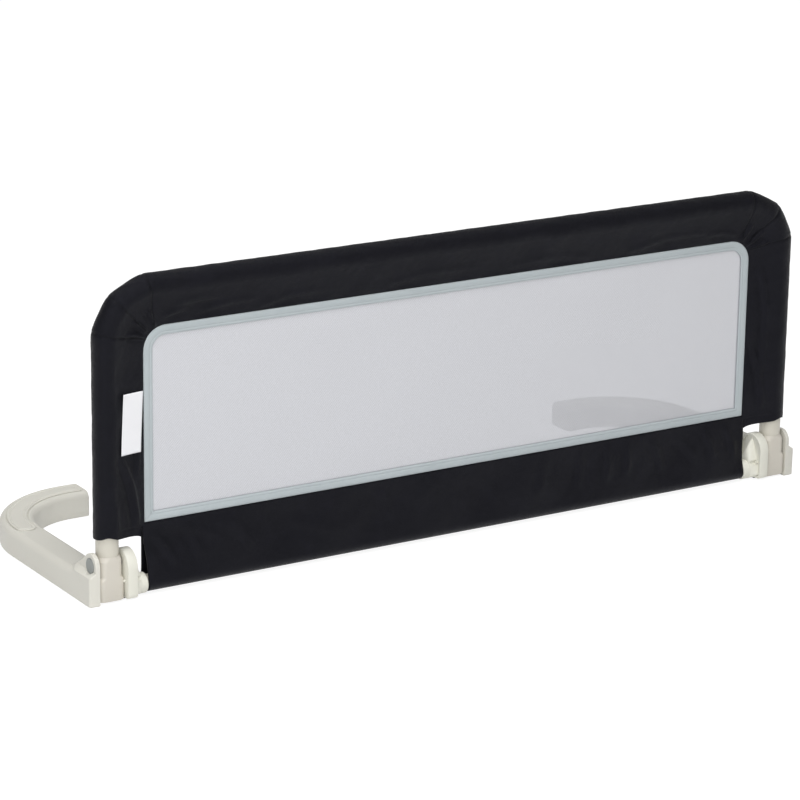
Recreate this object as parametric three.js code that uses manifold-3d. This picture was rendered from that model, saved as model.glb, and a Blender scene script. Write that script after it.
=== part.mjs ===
// A folding bed guard rail: a cloth-covered tube frame with a mesh window, on two hooked arms that slide
// under the mattress and turn about sprung-locked pivots at the foot of the frame.
// X runs along the rail, Y from the panel to the back of the arms, Z up. Sizes are in millimetres.
import * as THREE from "three";
import { mergeVertices } from "three/addons/utils/BufferGeometryUtils.js";
import Module from "manifold-3d";

const wasm = await Module();
wasm.setup();

// Driving dimensions of the whole rail
const railWidth = 1060; // over the outer faces of the two arms
const topTubeHeight = 383; // axis of the top tube above the floor
const pivotHeight = 48; // axis that the arms turn about
const pieceGap = 0.3; // left between pieces that touch
const sideGap = 0.4; // left between the arm, the housing and the hub where they turn
const cutOverrun = 2; // how far a cut runs past the face that it opens
const joinOverlap = 1; // how far the solids of one piece run into each other

// Frame tubes
const tubeDiameter = 28;
const tubeWall = 1.2;
const bendRadius = 66; // of the tube's axis at the top corners
const stubLength = 34; // straight end of the bent tube past the bend
const swageLength = 38; // thinner end that goes into the top tube
const lowerTubeDiameter = 19;
const lowerTubeHeight = 15; // axis above the floor
const lowerTubeInsert = 13.5; // length inside each hub
const snapButtonRadius = 3.4;
const snapButtonLength = 7;
const rivetRadius = 2;
const rivetRise = 33.4; // above the tube's lower end

// Arm
const armWidth = 44;
const armHeight = 34;
const armReach = 337; // from the post plane to the back of the hook
const armShoulder = 9; // radius of the long upper edges
const armFoot = 1.5; // chamfer of the long lower edges
const armTurnRadius = 110; // of the arm's middle line where it turns inwards
const hookLength = 24; // straight end after the turn
const tipRound = 4; // rounding of the hook's end
const armWall = 2.6;
const basePlateThickness = 2.4;
const armNotchRadius = 56; // hollow round the pivot that clears the housing
const hollowStart = 66; // front end of the arm's hollow, from the post plane
const armBossRadius = 3.8;
const armScrewRadius = 1.6;
const armScrewHeadRadius = 3;
const armScrewHeadHeight = 1.2;
const armScrewLength = 16;

// Grip pad let into the top of the hook
const padMargin = 9; // from the arm's edge to the pad
const padDepth = 1.4; // let into the arm
const padProud = 0.5; // above the arm
const padEndMargin = 6;

// Cheek and head of the arm, outside the post housing
const cheekThickness = 14.2;
const cheekFront = 15; // in front of the post plane
const cheekHeight = 42;
const cheekCorner = 4;
const cheekTopInset = 8.8; // how far the cheek leans in at its top
const cheekTopSlope = 5.5; // height over which it leans in
const headRadius = 15.3;
const headInset = 8.6; // head's outer face behind the cheek's
const headBack = 46; // where the head's rear slope meets the arm
const headWeb = 1.8; // wall that the axle bolt clamps

// Release button, lock gear and spring
const buttonRadius = 9.8;
const buttonProud = 1.2;
const buttonCap = 1.3;
const buttonTravel = 2;
const legInner = 5.4;
const legOuter = 6.9;
const legCount = 3;
const legSweep = Math.PI / 4;
const gearRadius = 7.8;
const gearToothDepth = 0.9;
const gearTeeth = 12;
const gearThickness = 4;
const springInner = 4;
const springOuter = 5.4;
const springLength = 6;

// Axle bolt and nut
const axleRadius = 3;
const axleHeadRadius = 4.9;
const axleEnd = 9; // length of bolt inside the hub
const nutRadius = 5.6; // over its corners
const nutThickness = 5;

// Post housing
const housingWidth = 33.4;
const housingFront = 15;
const housingBack = 18;
const housingBottom = 3;
const housingCorner = 6;
const housingEdge = 2;
const shoulderHeight = 30;
const neckStart = 34;
const neckHalfWidth = 14.4;
const neckCorner = 8;
const rimWall = 1.7;
const rimHeight = 6;
const seatMargin = 0.5; // of housing between the gear and the tube's end
const rimDepth = 2.5; // of tube inside the rim
const spigotLength = 46;

// Hub, with the socket of the lower tube
const hubThickness = 13.4;
const hubHalfWidth = 22;
const hubBottom = 4;
const hubCorner = 6;
const hubRise = 15.5; // above the pivot
const hubRim = 3.2;
const hubRecess = 2.4;
const bossRadius = 13;
const bossLength = 9; // round end past the fairing
const bossReach = 18.8; // past the hub's inner face
const fairingHalfWidth = 19;
const fairingBottom = 4.5;
const fairingElbow = 11; // height at which the fairing is widest
const fairingTop = 57.5;
const hubScrewRadius = 1.8;
const hubScrewHeadRadius = 2.7;
const hubScrewHeadHeight = 1.8;
const hubScrewLength = 24;
const hubScrewOffset = 12.2;
const hubScrewHeight = 26;
const footRadius = 2.8;
const footInset = 5; // from the hub's outer face

// Cloth cover
const coverThickness = 2.3;
const hemThickness = 1.9;
const sideBand = 50.3; // from the post's axis to the window
const topBand = 49; // from the top tube's axis to the window
const windowRise = 11; // of the window above the side sleeves' lower ends
const windowCorner = 29;
const bandEdge = 3.4; // thickness of the cloth at the window
const bindingWidth = 11;
const bindingThickness = 4.6;
const meshThickness = 1.2;
const sleeveClear = 17.5; // between the hubs and the side sleeves
const skirtClear = 15.8; // between the skirt's upper ends and the hubs
const skirtHemClear = 1; // between the hem and the hub's boss
const skirtFoldDepth = 2.4;
const skirtFoldPitch = 148;
const bandSag = 1.6; // hollow of the cloth between the tube and the window
const seamPinch = 1.1; // how far a corner seam draws the cloth in
const labelWidth = 31;
const labelHeight = 75;
const labelThickness = 0.8;
const labelFromWindow = 19.5; // from the window's edge to the label's middle
const labelMiddle = 220.5; // height of the label's middle
const labelTilt = THREE.MathUtils.degToRad(2);

// Places that follow from the sizes above. The left side is built at negative X and mirrored.
const armOuterX = -railWidth / 2;
const cheekInnerX = armOuterX + cheekThickness;
const headOuterX = armOuterX + headInset;
const housingOuterX = cheekInnerX + sideGap;
const postX = housingOuterX + housingWidth / 2;
const hubOuterX = postX + housingWidth / 2 + sideGap;
const hubInnerX = hubOuterX + hubThickness;
const bossEndX = hubInnerX + bossReach;
const tubeRadius = tubeDiameter / 2;
const tubeBore = tubeRadius - tubeWall;
const pinReach = tubeRadius - tubeWall / 2; // pins in the tubes end inside the wall, clear of the cloth
const swageRadius = tubeBore - pieceGap;
const lowerTubeRadius = lowerTubeDiameter / 2;
const bendX = postX + bendRadius;
const bendZ = topTubeHeight - bendRadius;
const jointX = bendX + stubLength;
const tubeSeat = pivotHeight + gearRadius + pieceGap + seatMargin;
const rivetHeight = tubeSeat + rivetRise;
const hubTop = pivotHeight + hubRise;
const sleeveBottom = hubTop + sleeveClear;
const windowBottom = sleeveBottom + windowRise;
const coverBore = tubeRadius + pieceGap;
const coverRadius = coverBore + coverThickness;
const windowHalfWidth = -(postX + sideBand);
const windowTop = topTubeHeight - topBand;
const armMiddleX = armOuterX + armWidth / 2;
const turnX = armMiddleX + armTurnRadius;
const turnY = armReach - armWidth / 2 - armTurnRadius;
const webOuterX = cheekInnerX - headWeb;
const capOuterX = headOuterX - buttonProud;
const capInnerX = capOuterX + buttonCap;
const axleHeadEnd = webOuterX - pieceGap;
const axleHeadStart = capInnerX + buttonTravel + pieceGap; // the pressed button stops just short of it
const gearOuterX = housingOuterX + pieceGap;
const gearInnerX = gearOuterX + gearThickness;
const pocketEndX = gearInnerX + springLength + 2 * pieceGap;
const hemHalf = -bossEndX - skirtHemClear;
const skirtHalfTop = -hubInnerX - skirtClear;

const roundSides = 16;
const smallSides = 10;
const cornerSeams = 3;
const stepsPerGore = 2;
const bendSteps = (cornerSeams + 1) * stepsPerGore;
const armTurnSteps = 8;

const colours = { ivory: 0xcecabe, cloth: 0x232328, trim: 0x9da7a8, net: 0xb4b6b9, button: 0x8e918b,
  tube: 0xd2cec2, steel: 0xb9bbbd, rubber: 0x26262a, label: 0xf0f0ee, pad: 0xcbc9c1 };

function material(colour, roughness, metalness) {
  return new THREE.MeshStandardMaterial({ color: colour, roughness, metalness });
}

const materials = {
  plastic: () => material(colours.ivory, 0.48, 0),
  cloth: () => material(colours.cloth, 0.85, 0),
  trim: () => material(colours.trim, 0.9, 0),
  net: () => material(colours.net, 0.9, 0),
  button: () => material(colours.button, 0.5, 0),
  tube: () => material(colours.tube, 0.38, 0),
  steel: () => material(colours.steel, 0.35, 1),
  rubber: () => material(colours.rubber, 0.8, 0),
  label: () => material(colours.label, 0.75, 0),
  pad: () => material(colours.pad, 0.6, 0),
};

// Solids and the joins and cuts between them

function signedVolume(position, index) {
  const [a, b, c] = [new THREE.Vector3(), new THREE.Vector3(), new THREE.Vector3()];
  let total = 0;
  for (let i = 0; i < index.length; i += 3) {
    a.fromBufferAttribute(position, index[i]);
    b.fromBufferAttribute(position, index[i + 1]);
    c.fromBufferAttribute(position, index[i + 2]);
    total += a.dot(b.cross(c));
  }
  return total;
}

// A geometry from points and faces, with its faces turned outwards.
function closedGeometry(points, faces) {
  const geometry = new THREE.BufferGeometry();
  geometry.setAttribute("position", new THREE.Float32BufferAttribute(points.flat(), 3));
  const index = faces.flat();
  if (signedVolume(geometry.attributes.position, index) < 0) index.reverse();
  geometry.setIndex(index);
  return geometry;
}

function toSolid(geometry) {
  const bare = new THREE.BufferGeometry();
  bare.setAttribute("position", geometry.attributes.position.clone());
  if (geometry.index) bare.setIndex(geometry.index.clone());
  const merged = mergeVertices(bare);
  const vertProperties = new Float32Array(merged.attributes.position.array);
  const triVerts = new Uint32Array(merged.index.array);
  return new wasm.Manifold(new wasm.Mesh({ numProp: 3, vertProperties, triVerts }));
}

function toGeometry(solid) {
  const { vertProperties, triVerts } = solid.getMesh();
  const geometry = new THREE.BufferGeometry();
  geometry.setAttribute("position", new THREE.Float32BufferAttribute(vertProperties, 3));
  geometry.setIndex([...triVerts]);
  return geometry;
}

// The first geometry joined with the added ones and cut by the others.
function built(first, added, cuts) {
  let solid = toSolid(first);
  for (const piece of added) solid = solid.add(toSolid(piece));
  for (const cut of cuts) solid = solid.subtract(toSolid(cut));
  return toGeometry(solid);
}

// Basic shapes, placed along the axes

// A plan outline carried up from one height to another.
function prismZ(shape, z0, z1) {
  const geometry = new THREE.ExtrudeGeometry(shape, { depth: z1 - z0, bevelEnabled: false, curveSegments: 6 });
  return geometry.translate(0, 0, z0);
}

// A side outline, drawn as Y and Z, carried along X.
function prismX(shape, x0, x1, curveSegments = 8) {
  const geometry = new THREE.ExtrudeGeometry(shape, { depth: x1 - x0, bevelEnabled: false, curveSegments });
  const [x, y, z] = [new THREE.Vector3(1, 0, 0), new THREE.Vector3(0, 1, 0), new THREE.Vector3(0, 0, 1)];
  return geometry.applyMatrix4(new THREE.Matrix4().makeBasis(y, z, x)).translate(x0, 0, 0);
}

// A front outline, drawn as X and Z, carried along Y and centred on the post plane.
function prismY(shape, thickness) {
  const geometry = new THREE.ExtrudeGeometry(shape, { depth: thickness, bevelEnabled: false, curveSegments: 8 });
  return geometry.translate(0, 0, -thickness / 2).rotateX(Math.PI / 2);
}

function rodX(radius, x0, x1, y, z, sides = roundSides) {
  const rod = new THREE.CylinderGeometry(radius, radius, x1 - x0, sides);
  return rod.rotateZ(Math.PI / 2).translate((x0 + x1) / 2, y, z);
}

function rodY(radius, y0, y1, x, z, sides = smallSides) {
  return new THREE.CylinderGeometry(radius, radius, y1 - y0, sides).translate(x, (y0 + y1) / 2, z);
}

function rodZ(radius, z0, z1, x, y, sides = roundSides) {
  const rod = new THREE.CylinderGeometry(radius, radius, z1 - z0, sides);
  return rod.rotateX(Math.PI / 2).translate(x, y, (z0 + z1) / 2);
}

function ringShape(outer, inner) {
  const shape = new THREE.Shape().absarc(0, 0, outer, 0, 2 * Math.PI);
  shape.holes.push(new THREE.Path().absarc(0, 0, inner, 0, 2 * Math.PI));
  return shape;
}

// A closed solid through a row of loops that all have the same number of points.
function lofted(loops) {
  const count = loops[0].length;
  const points = loops.flat();
  const faces = [];
  for (let i = 0; i + 1 < loops.length; i++) {
    for (let j = 0; j < count; j++) {
      const [a, b] = [i * count + j, i * count + ((j + 1) % count)];
      faces.push([a, b, b + count], [a, b + count, a + count]);
    }
  }
  const ends = [[loops[0], 0, true], [loops.at(-1), points.length - count, false]];
  for (const [loop, start, turned] of ends) {
    const middle = points.length;
    points.push([0, 1, 2].map((k) => loop.reduce((sum, point) => sum + point[k], 0) / count));
    for (let j = 0; j < count; j++) {
      const [a, b] = [start + j, start + ((j + 1) % count)];
      faces.push(turned ? [b, a, middle] : [a, b, middle]);
    }
  }
  return closedGeometry(points, faces);
}

// A pipe through a row of sections, each with an outer and an inner loop of the same number of points.
function piped(sections) {
  const count = sections[0].outer.length;
  const points = sections.flatMap((section) => [...section.outer, ...section.inner]);
  const row = 2 * count;
  const faces = [];
  for (let i = 0; i + 1 < sections.length; i++) {
    for (let j = 0; j < count; j++) {
      const [a, b] = [i * row + j, i * row + ((j + 1) % count)];
      faces.push([a, b, b + row], [a, b + row, a + row]);
      const [c, d] = [a + count, b + count];
      faces.push([d, c, c + row], [d, c + row, d + row]);
    }
  }
  for (const [start, turned] of [[0, true], [(sections.length - 1) * row, false]]) {
    for (let j = 0; j < count; j++) {
      const [a, b] = [start + j, start + ((j + 1) % count)];
      const quad = [[a, b, b + count], [a, b + count, a + count]];
      faces.push(...(turned ? quad.map((face) => face.reverse()) : quad));
    }
  }
  return closedGeometry(points, faces);
}

// Frame tubes

// A place on the left post and its bend: the tube's centre in X and Z, and the direction away from the window.
function postStation(x, z, angle) {
  return { x, z, outX: -Math.cos(angle), outZ: Math.sin(angle) };
}

function bendStations() {
  return Array.from({ length: bendSteps + 1 }, (_, i) => {
    const angle = (i / bendSteps) * (Math.PI / 2);
    return postStation(bendX - bendRadius * Math.cos(angle), bendZ + bendRadius * Math.sin(angle), angle);
  });
}

function circleAt(station, radius, sides) {
  return Array.from({ length: sides }, (_, i) => {
    const angle = (i / sides) * 2 * Math.PI;
    const out = radius * Math.cos(angle);
    return [station.x + out * station.outX, radius * Math.sin(angle), station.z + out * station.outZ];
  });
}

function tubeSection(station, outer, inner, sides = roundSides) {
  return { outer: circleAt(station, outer, sides), inner: circleAt(station, inner, sides) };
}

// The left post, its bend and the stub that slides into the top tube.
function postTube() {
  const swageBore = swageRadius - tubeWall;
  const thinAt = (x) => tubeSection(postStation(x, topTubeHeight, Math.PI / 2), swageRadius, swageBore);
  const sections = [postStation(postX, tubeSeat + pieceGap, 0), ...bendStations()]
    .concat(postStation(jointX, topTubeHeight, Math.PI / 2))
    .map((station) => tubeSection(station, tubeRadius, swageBore));
  sections.push(thinAt(jointX), thinAt(jointX + swageLength));
  const bore = rodZ(tubeBore, tubeSeat - cutOverrun, bendZ, postX, 0);
  const rivetHole = rodY(rivetRadius + pieceGap, -tubeDiameter, tubeDiameter, postX, rivetHeight);
  return built(piped(sections), [], [bore, rivetHole, snapHole()]);
}

function snapButtonX() {
  return jointX + swageLength / 2;
}

function snapHole() {
  return rodY(snapButtonRadius + pieceGap, 0, tubeDiameter, snapButtonX(), topTubeHeight);
}

// The sprung button that locks the post's stub in the top tube, at the back of the tube.
function snapButton() {
  return rodY(snapButtonRadius, pinReach - snapButtonLength, pinReach, snapButtonX(), topTubeHeight);
}

function topTube() {
  const half = -jointX - pieceGap;
  const tube = prismX(ringShape(tubeRadius, tubeBore), -half, half).translate(0, 0, topTubeHeight);
  const hole = snapHole();
  return built(tube, [], [hole, hole.clone().translate(-2 * snapButtonX(), 0, 0)]);
}

function lowerTube() {
  const half = -bossEndX + lowerTubeInsert;
  const tube = prismX(ringShape(lowerTubeRadius, lowerTubeRadius - tubeWall), -half, half);
  return tube.translate(0, 0, lowerTubeHeight);
}

// Post housing, which the arm and the hub clamp between them

// A rectangle with round corners at one height, as a loop of points.
function roundedLoop(halfWidth, front, back, corner, z) {
  const steps = 3;
  const corners = [[1, back, 0], [-1, back, 1], [-1, front, 2], [1, front, 3]];
  return corners.flatMap(([side, y, quarter]) => Array.from({ length: steps + 1 }, (_, i) => {
    const angle = (quarter + i / steps) * (Math.PI / 2);
    const centreY = y > 0 ? y - corner : y + corner;
    const centreX = postX + side * (halfWidth - corner);
    return [centreX + corner * Math.cos(angle), centreY + corner * Math.sin(angle), z];
  }));
}

function postHousing() {
  const half = housingWidth / 2;
  const block = (inset, z) =>
    roundedLoop(half - inset, inset - housingFront, housingBack - inset, housingCorner, z);
  const neck = (z) => roundedLoop(neckHalfWidth, -neckHalfWidth, neckHalfWidth, neckCorner, z);
  const rimTop = tubeSeat + rimDepth;
  const rimStart = rimTop - rimHeight;
  const body = lofted([block(housingEdge, housingBottom), block(0, housingBottom + housingEdge),
    block(0, shoulderHeight), neck(neckStart), neck(rimStart + joinOverlap)]);
  const rim = rodZ(coverBore + rimWall, rimStart, rimTop, postX, 0);
  const seat = rodZ(coverBore, tubeSeat, rimTop + cutOverrun, postX, 0);
  const spigot = rodZ(swageRadius, tubeSeat - joinOverlap, tubeSeat + spigotLength, postX, 0);
  const pocket = prismX(gearShape(pieceGap), housingOuterX - cutOverrun, pocketEndX);
  const bore = rodX(axleRadius + pieceGap, pocketEndX - joinOverlap, hubOuterX, 0, 0, smallSides);
  const rivetHole = rodY(rivetRadius + pieceGap, -tubeDiameter, tubeDiameter, postX, rivetHeight);
  const shell = built(body, [rim], [seat]);
  const placed = [pocket, bore].map((cut) => cut.translate(0, 0, pivotHeight));
  return built(shell, [spigot], [...placed, rivetHole, ...hubScrewRods(hubScrewRadius + pieceGap)]);
}

function postRivet() {
  return rodY(rivetRadius, -pinReach, pinReach, postX, rivetHeight);
}

// Hub: an arched plate with a rim, and a fairing that runs down into the socket of the lower tube

function archShape(inset) {
  const half = hubHalfWidth - inset;
  const bottom = hubBottom + inset;
  const corner = hubCorner - inset / 2;
  const shape = new THREE.Shape();
  shape.moveTo(half, hubTop - hubHalfWidth);
  shape.absarc(0, hubTop - hubHalfWidth, half, 0, Math.PI);
  shape.absarc(corner - half, bottom + corner, corner, Math.PI, 1.5 * Math.PI);
  shape.absarc(half - corner, bottom + corner, corner, -Math.PI / 2, 0);
  return shape;
}

// The fairing's outline where it leaves the plate, from the top round to the top again.
function fairingLoop(x) {
  const knots = [[0, fairingTop], [fairingHalfWidth, fairingElbow], [bossRadius, fairingBottom],
    [-bossRadius, fairingBottom], [-fairingHalfWidth, fairingElbow], [0, fairingTop]];
  const stepsPerSide = [7, 1, 4, 1, 7];
  return stepsPerSide.flatMap((steps, side) => Array.from({ length: steps }, (_, i) => {
    const [from, to] = [knots[side], knots[side + 1]];
    return [x, from[0] + ((to[0] - from[0]) * i) / steps, from[1] + ((to[1] - from[1]) * i) / steps];
  }));
}

function bossLoop(x) {
  return fairingLoop(x).map((_, i, loop) => {
    const angle = Math.PI / 2 - (i / loop.length) * 2 * Math.PI;
    return [x, bossRadius * Math.cos(angle), lowerTubeHeight + bossRadius * Math.sin(angle)];
  });
}

function hubScrewRods(radius) {
  const start = hubInnerX - hubRecess;
  return [-hubScrewOffset, hubScrewOffset].map((y) =>
    rodX(radius, start - hubScrewLength, start, y, hubScrewHeight, smallSides));
}

function hub() {
  const plate = prismX(archShape(0), hubOuterX, hubInnerX);
  const fairing = lofted([fairingLoop(hubInnerX - hubRecess - joinOverlap), bossLoop(bossEndX - bossLength),
    bossLoop(bossEndX)]);
  const recess = prismX(archShape(hubRim), hubInnerX - hubRecess, hubInnerX + cutOverrun);
  const socketStart = bossEndX - lowerTubeInsert - pieceGap;
  const socket = rodX(lowerTubeRadius + pieceGap, socketStart, bossEndX + cutOverrun, 0, lowerTubeHeight);
  const boltHole = rodX(axleRadius + pieceGap, hubOuterX - cutOverrun, hubOuterX + axleEnd + pieceGap, 0,
    pivotHeight, smallSides);
  const nutHole = rodX(nutRadius + pieceGap, hubOuterX - cutOverrun, hubOuterX + nutThickness + pieceGap, 0,
    pivotHeight, 6);
  const footHole = rodZ(footRadius + pieceGap, hubBottom - cutOverrun, 2 * hubBottom + pieceGap,
    hubOuterX + footInset, 0, smallSides);
  const framed = built(plate, [], [recess]);
  const screwHoles = hubScrewRods(hubScrewRadius + pieceGap);
  const headPockets = [-hubScrewOffset, hubScrewOffset].map((y) =>
    rodX(hubScrewHeadRadius + pieceGap, hubInnerX - hubRecess, bossEndX, y, hubScrewHeight, smallSides));
  return built(framed, [fairing], [socket, boltHole, nutHole, footHole, ...screwHoles, ...headPockets]);
}

function hubScrews() {
  const start = hubInnerX - hubRecess + pieceGap;
  return [-hubScrewOffset, hubScrewOffset].map((y) => {
    const head = rodX(hubScrewHeadRadius, start, start + hubScrewHeadHeight, y, hubScrewHeight, smallSides);
    const tip = start - hubScrewLength;
    return built(head, [rodX(hubScrewRadius, tip, start + joinOverlap, y, hubScrewHeight, smallSides)], []);
  });
}

function hubFoot() {
  return rodZ(footRadius, 0, 2 * hubBottom, hubOuterX + footInset, 0, smallSides);
}

// Axle bolt, nut, lock gear, spring and release button

function axleBolt() {
  const head = rodX(axleHeadRadius, axleHeadStart, axleHeadEnd, 0, pivotHeight, smallSides);
  const shank = rodX(axleRadius, axleHeadEnd - joinOverlap, hubOuterX + axleEnd, 0, pivotHeight, smallSides);
  return built(head, [shank], []);
}

function axleNut() {
  const nut = rodX(nutRadius, hubOuterX, hubOuterX + nutThickness, 0, pivotHeight, 6);
  const hole = rodX(axleRadius + pieceGap, hubOuterX - cutOverrun, hubOuterX + nutThickness + cutOverrun, 0,
    pivotHeight, smallSides);
  return built(nut, [], [hole]);
}

// A toothed outline with straight-sided teeth, grown by a clearance.
function gearShape(clearance) {
  const toothShares = [[0, 1], [0.3, 1], [0.45, 0], [0.85, 0]];
  const points = Array.from({ length: gearTeeth }, (_, tooth) => toothShares.map(([turnShare, outShare]) => {
    const angle = ((tooth + turnShare) / gearTeeth) * 2 * Math.PI;
    const radius = gearRadius - gearToothDepth * (1 - outShare) + clearance;
    return new THREE.Vector2(radius * Math.cos(angle), radius * Math.sin(angle));
  }));
  return new THREE.Shape(points.flat());
}

function lockGear() {
  const shape = gearShape(0);
  shape.holes.push(new THREE.Path().absarc(0, 0, axleRadius + pieceGap, 0, 2 * Math.PI));
  return prismX(shape, gearOuterX, gearInnerX).translate(0, 0, pivotHeight);
}

function lockSpring() {
  const start = gearInnerX + pieceGap;
  return prismX(ringShape(springOuter, springInner), start, start + springLength).translate(0, 0, pivotHeight);
}

// Three legs, or with a clearance the slots that they run in.
function buttonLegs(x0, x1, clearance) {
  return Array.from({ length: legCount }, (_, leg) => {
    const start = (leg / legCount) * 2 * Math.PI;
    const spare = clearance / legInner;
    const shape = new THREE.Shape();
    shape.absarc(0, 0, legOuter + clearance, start - spare, start + legSweep + spare);
    shape.absarc(0, 0, legInner - clearance, start + legSweep + spare, start - spare, true);
    return prismX(shape, x0, x1, 3).translate(0, 0, pivotHeight);
  });
}

function releaseButton() {
  const cap = rodX(buttonRadius, capOuterX, capInnerX, 0, pivotHeight);
  return built(cap, buttonLegs(capInnerX - joinOverlap, housingOuterX, 0), []);
}

// Arm: a J-shaped shell with its head and cheek, a base plate, screws and a grip pad

// A place along the arm's middle line, with the direction to its outer side.
function armStation(x, y, angle) {
  return { x, y, outX: -Math.cos(angle), outY: Math.sin(angle) };
}

function armStations(startY, endX) {
  const turn = Array.from({ length: armTurnSteps + 1 }, (_, i) => {
    const angle = (i / armTurnSteps) * (Math.PI / 2);
    return armStation(turnX - armTurnRadius * Math.cos(angle), turnY + armTurnRadius * Math.sin(angle), angle);
  });
  return [armStation(armMiddleX, startY, 0), ...turn, armStation(endX, turnY + armTurnRadius, Math.PI / 2)];
}

function armLoop(station, profile) {
  return profile.map(([side, z]) => [station.x + side * station.outX, station.y + side * station.outY, z]);
}

// Half of the arm's section, from the floor up its outer side to the top, and mirrored down the inner side.
function armProfile(inset, foot) {
  const half = armWidth / 2 - inset;
  const top = armHeight - inset;
  const radius = armShoulder - inset / 2;
  const rise = [[half - foot, 0], [half, foot]];
  for (let i = 0; i <= 3; i++) {
    const angle = (i / 3) * (Math.PI / 2);
    rise.push([half - radius + radius * Math.cos(angle), top - radius + radius * Math.sin(angle)]);
  }
  return [...rise, ...rise.map(([side, z]) => [-side, z]).reverse()];
}

const hookEndX = turnX + hookLength;

function armBar() {
  const stations = armStations(0, hookEndX - tipRound);
  const loops = stations.map((station) => armLoop(station, armProfile(0, armFoot)));
  loops.push(armLoop(armStation(hookEndX, turnY + armTurnRadius, Math.PI / 2), armProfile(tipRound, armFoot)));
  return lofted(loops);
}

// The space inside the arm, open at the floor.
function armHollow() {
  const profile = armProfile(armWall, 0).map(([side, z]) => [side, z > 0 ? z : -cutOverrun]);
  const stations = armStations(hollowStart, hookEndX - tipRound - armWall);
  return lofted(stations.map((station) => armLoop(station, profile)));
}

// The cheek's outline in plan, round at its front outer corner and leaning in by an inset.
function cheekLoop(inset, z) {
  const [outer, front] = [armOuterX + inset, inset / 2 - cheekFront];
  const back = hollowStart;
  const corner = Math.min(cheekCorner, cheekInnerX - outer);
  const arc = [0, 1, 2, 3].map((i) => {
    const angle = Math.PI + (i / 3) * (Math.PI / 2);
    return [outer + corner * (1 + Math.cos(angle)), front + corner * (1 + Math.sin(angle)), z];
  });
  return [[cheekInnerX, back, z], [outer, back, z], ...arc, [cheekInnerX, front, z]];
}

function cheek() {
  return lofted([cheekLoop(armFoot, 0), cheekLoop(0, armFoot), cheekLoop(0, cheekHeight - cheekTopSlope),
    cheekLoop(cheekTopInset, cheekHeight)]);
}

// The round head on the pivot, with a slope down to the arm behind it.
function headShape() {
  const shape = new THREE.Shape();
  shape.moveTo(-cheekFront, cheekHeight - cheekTopSlope);
  shape.lineTo(headBack, armHeight - armShoulder);
  shape.lineTo(headBack, armHeight - armShoulder / 2);
  shape.absarc(0, pivotHeight, headRadius, Math.PI / 5, 1.15 * Math.PI);
  return shape;
}

function armScrewPlaces() {
  const straightShares = [0.16, 0.55, 0.94];
  const turnShares = [0.5, 1];
  const straight = straightShares.map((share) => [armMiddleX, hollowStart + share * (turnY - hollowStart)]);
  const turned = turnShares.map((share) => [turnX - armTurnRadius * Math.cos((share * Math.PI) / 2),
    turnY + armTurnRadius * Math.sin((share * Math.PI) / 2)]);
  return [...straight, ...turned];
}

// The grip pad's outline in plan, grown by a clearance.
function padShape(clearance) {
  const half = armWidth / 2 - padMargin + clearance;
  const end = hookEndX - padEndMargin + clearance;
  const shape = new THREE.Shape();
  shape.moveTo(armMiddleX + half, turnY);
  shape.absarc(turnX, turnY, armTurnRadius - half, Math.PI, Math.PI / 2, true);
  shape.lineTo(end, turnY + armTurnRadius - half);
  shape.lineTo(end, turnY + armTurnRadius + half);
  shape.lineTo(turnX, turnY + armTurnRadius + half);
  shape.absarc(turnX, turnY, armTurnRadius + half, Math.PI / 2, Math.PI);
  shape.absarc(armMiddleX, turnY, half, Math.PI, 2 * Math.PI);
  return shape;
}

function armShell() {
  const notch = rodX(armNotchRadius, cheekInnerX, armOuterX + armWidth + cutOverrun, 0, pivotHeight, 40);
  const bar = built(armBar(), [], [notch, armHollow()]);
  const head = prismX(headShape(), headOuterX, cheekInnerX);
  const bossTop = armHeight - armWall + joinOverlap;
  const bossBottom = basePlateThickness + pieceGap;
  const bosses = armScrewPlaces().map(([x, y]) => rodZ(armBossRadius, bossBottom, bossTop, x, y, smallSides));
  const screwHoles = armScrewPlaces().map(([x, y]) =>
    rodZ(armScrewRadius + pieceGap, 0, armScrewLength + pieceGap, x, y, 8));
  const cavity = rodX(buttonRadius + pieceGap, headOuterX - headInset - cutOverrun, webOuterX, 0, pivotHeight);
  const [webStart, webEnd] = [webOuterX - joinOverlap, cheekInnerX + cutOverrun];
  const bore = rodX(axleRadius + pieceGap, webStart, webEnd, 0, pivotHeight, smallSides);
  const slots = buttonLegs(webStart, webEnd, pieceGap);
  const padSeat = prismZ(padShape(pieceGap), armHeight - padDepth, armHeight + cutOverrun);
  return built(bar, [cheek(), head, ...bosses], [cavity, bore, ...slots, ...screwHoles, padSeat]);
}

function armBasePlate() {
  const half = armWidth / 2 - armWall - pieceGap;
  const profile = [[half, 0], [half, basePlateThickness], [-half, basePlateThickness], [-half, 0]];
  const stations = armStations(hollowStart + pieceGap, hookEndX - tipRound - armWall - pieceGap);
  const plate = lofted(stations.map((station) => armLoop(station, profile)));
  const holes = armScrewPlaces().flatMap(([x, y]) => [
    rodZ(armScrewRadius + pieceGap, -cutOverrun, basePlateThickness + cutOverrun, x, y, 8),
    rodZ(armScrewHeadRadius + pieceGap, -cutOverrun, armScrewHeadHeight + pieceGap, x, y, smallSides)]);
  return built(plate, [], holes);
}

function armScrews() {
  return armScrewPlaces().map(([x, y]) => {
    const head = rodZ(armScrewHeadRadius, pieceGap, armScrewHeadHeight, x, y, smallSides);
    return built(head, [rodZ(armScrewRadius, pieceGap, armScrewLength, x, y, 8)], []);
  });
}

function armGripPad() {
  return prismZ(padShape(0), armHeight - padDepth + pieceGap, armHeight + padProud);
}

// Cloth cover: bands that wrap a tube and run flat to the window

const bandArcSteps = 10;
const bandFlatShares = [0.35, 0.7];

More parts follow.
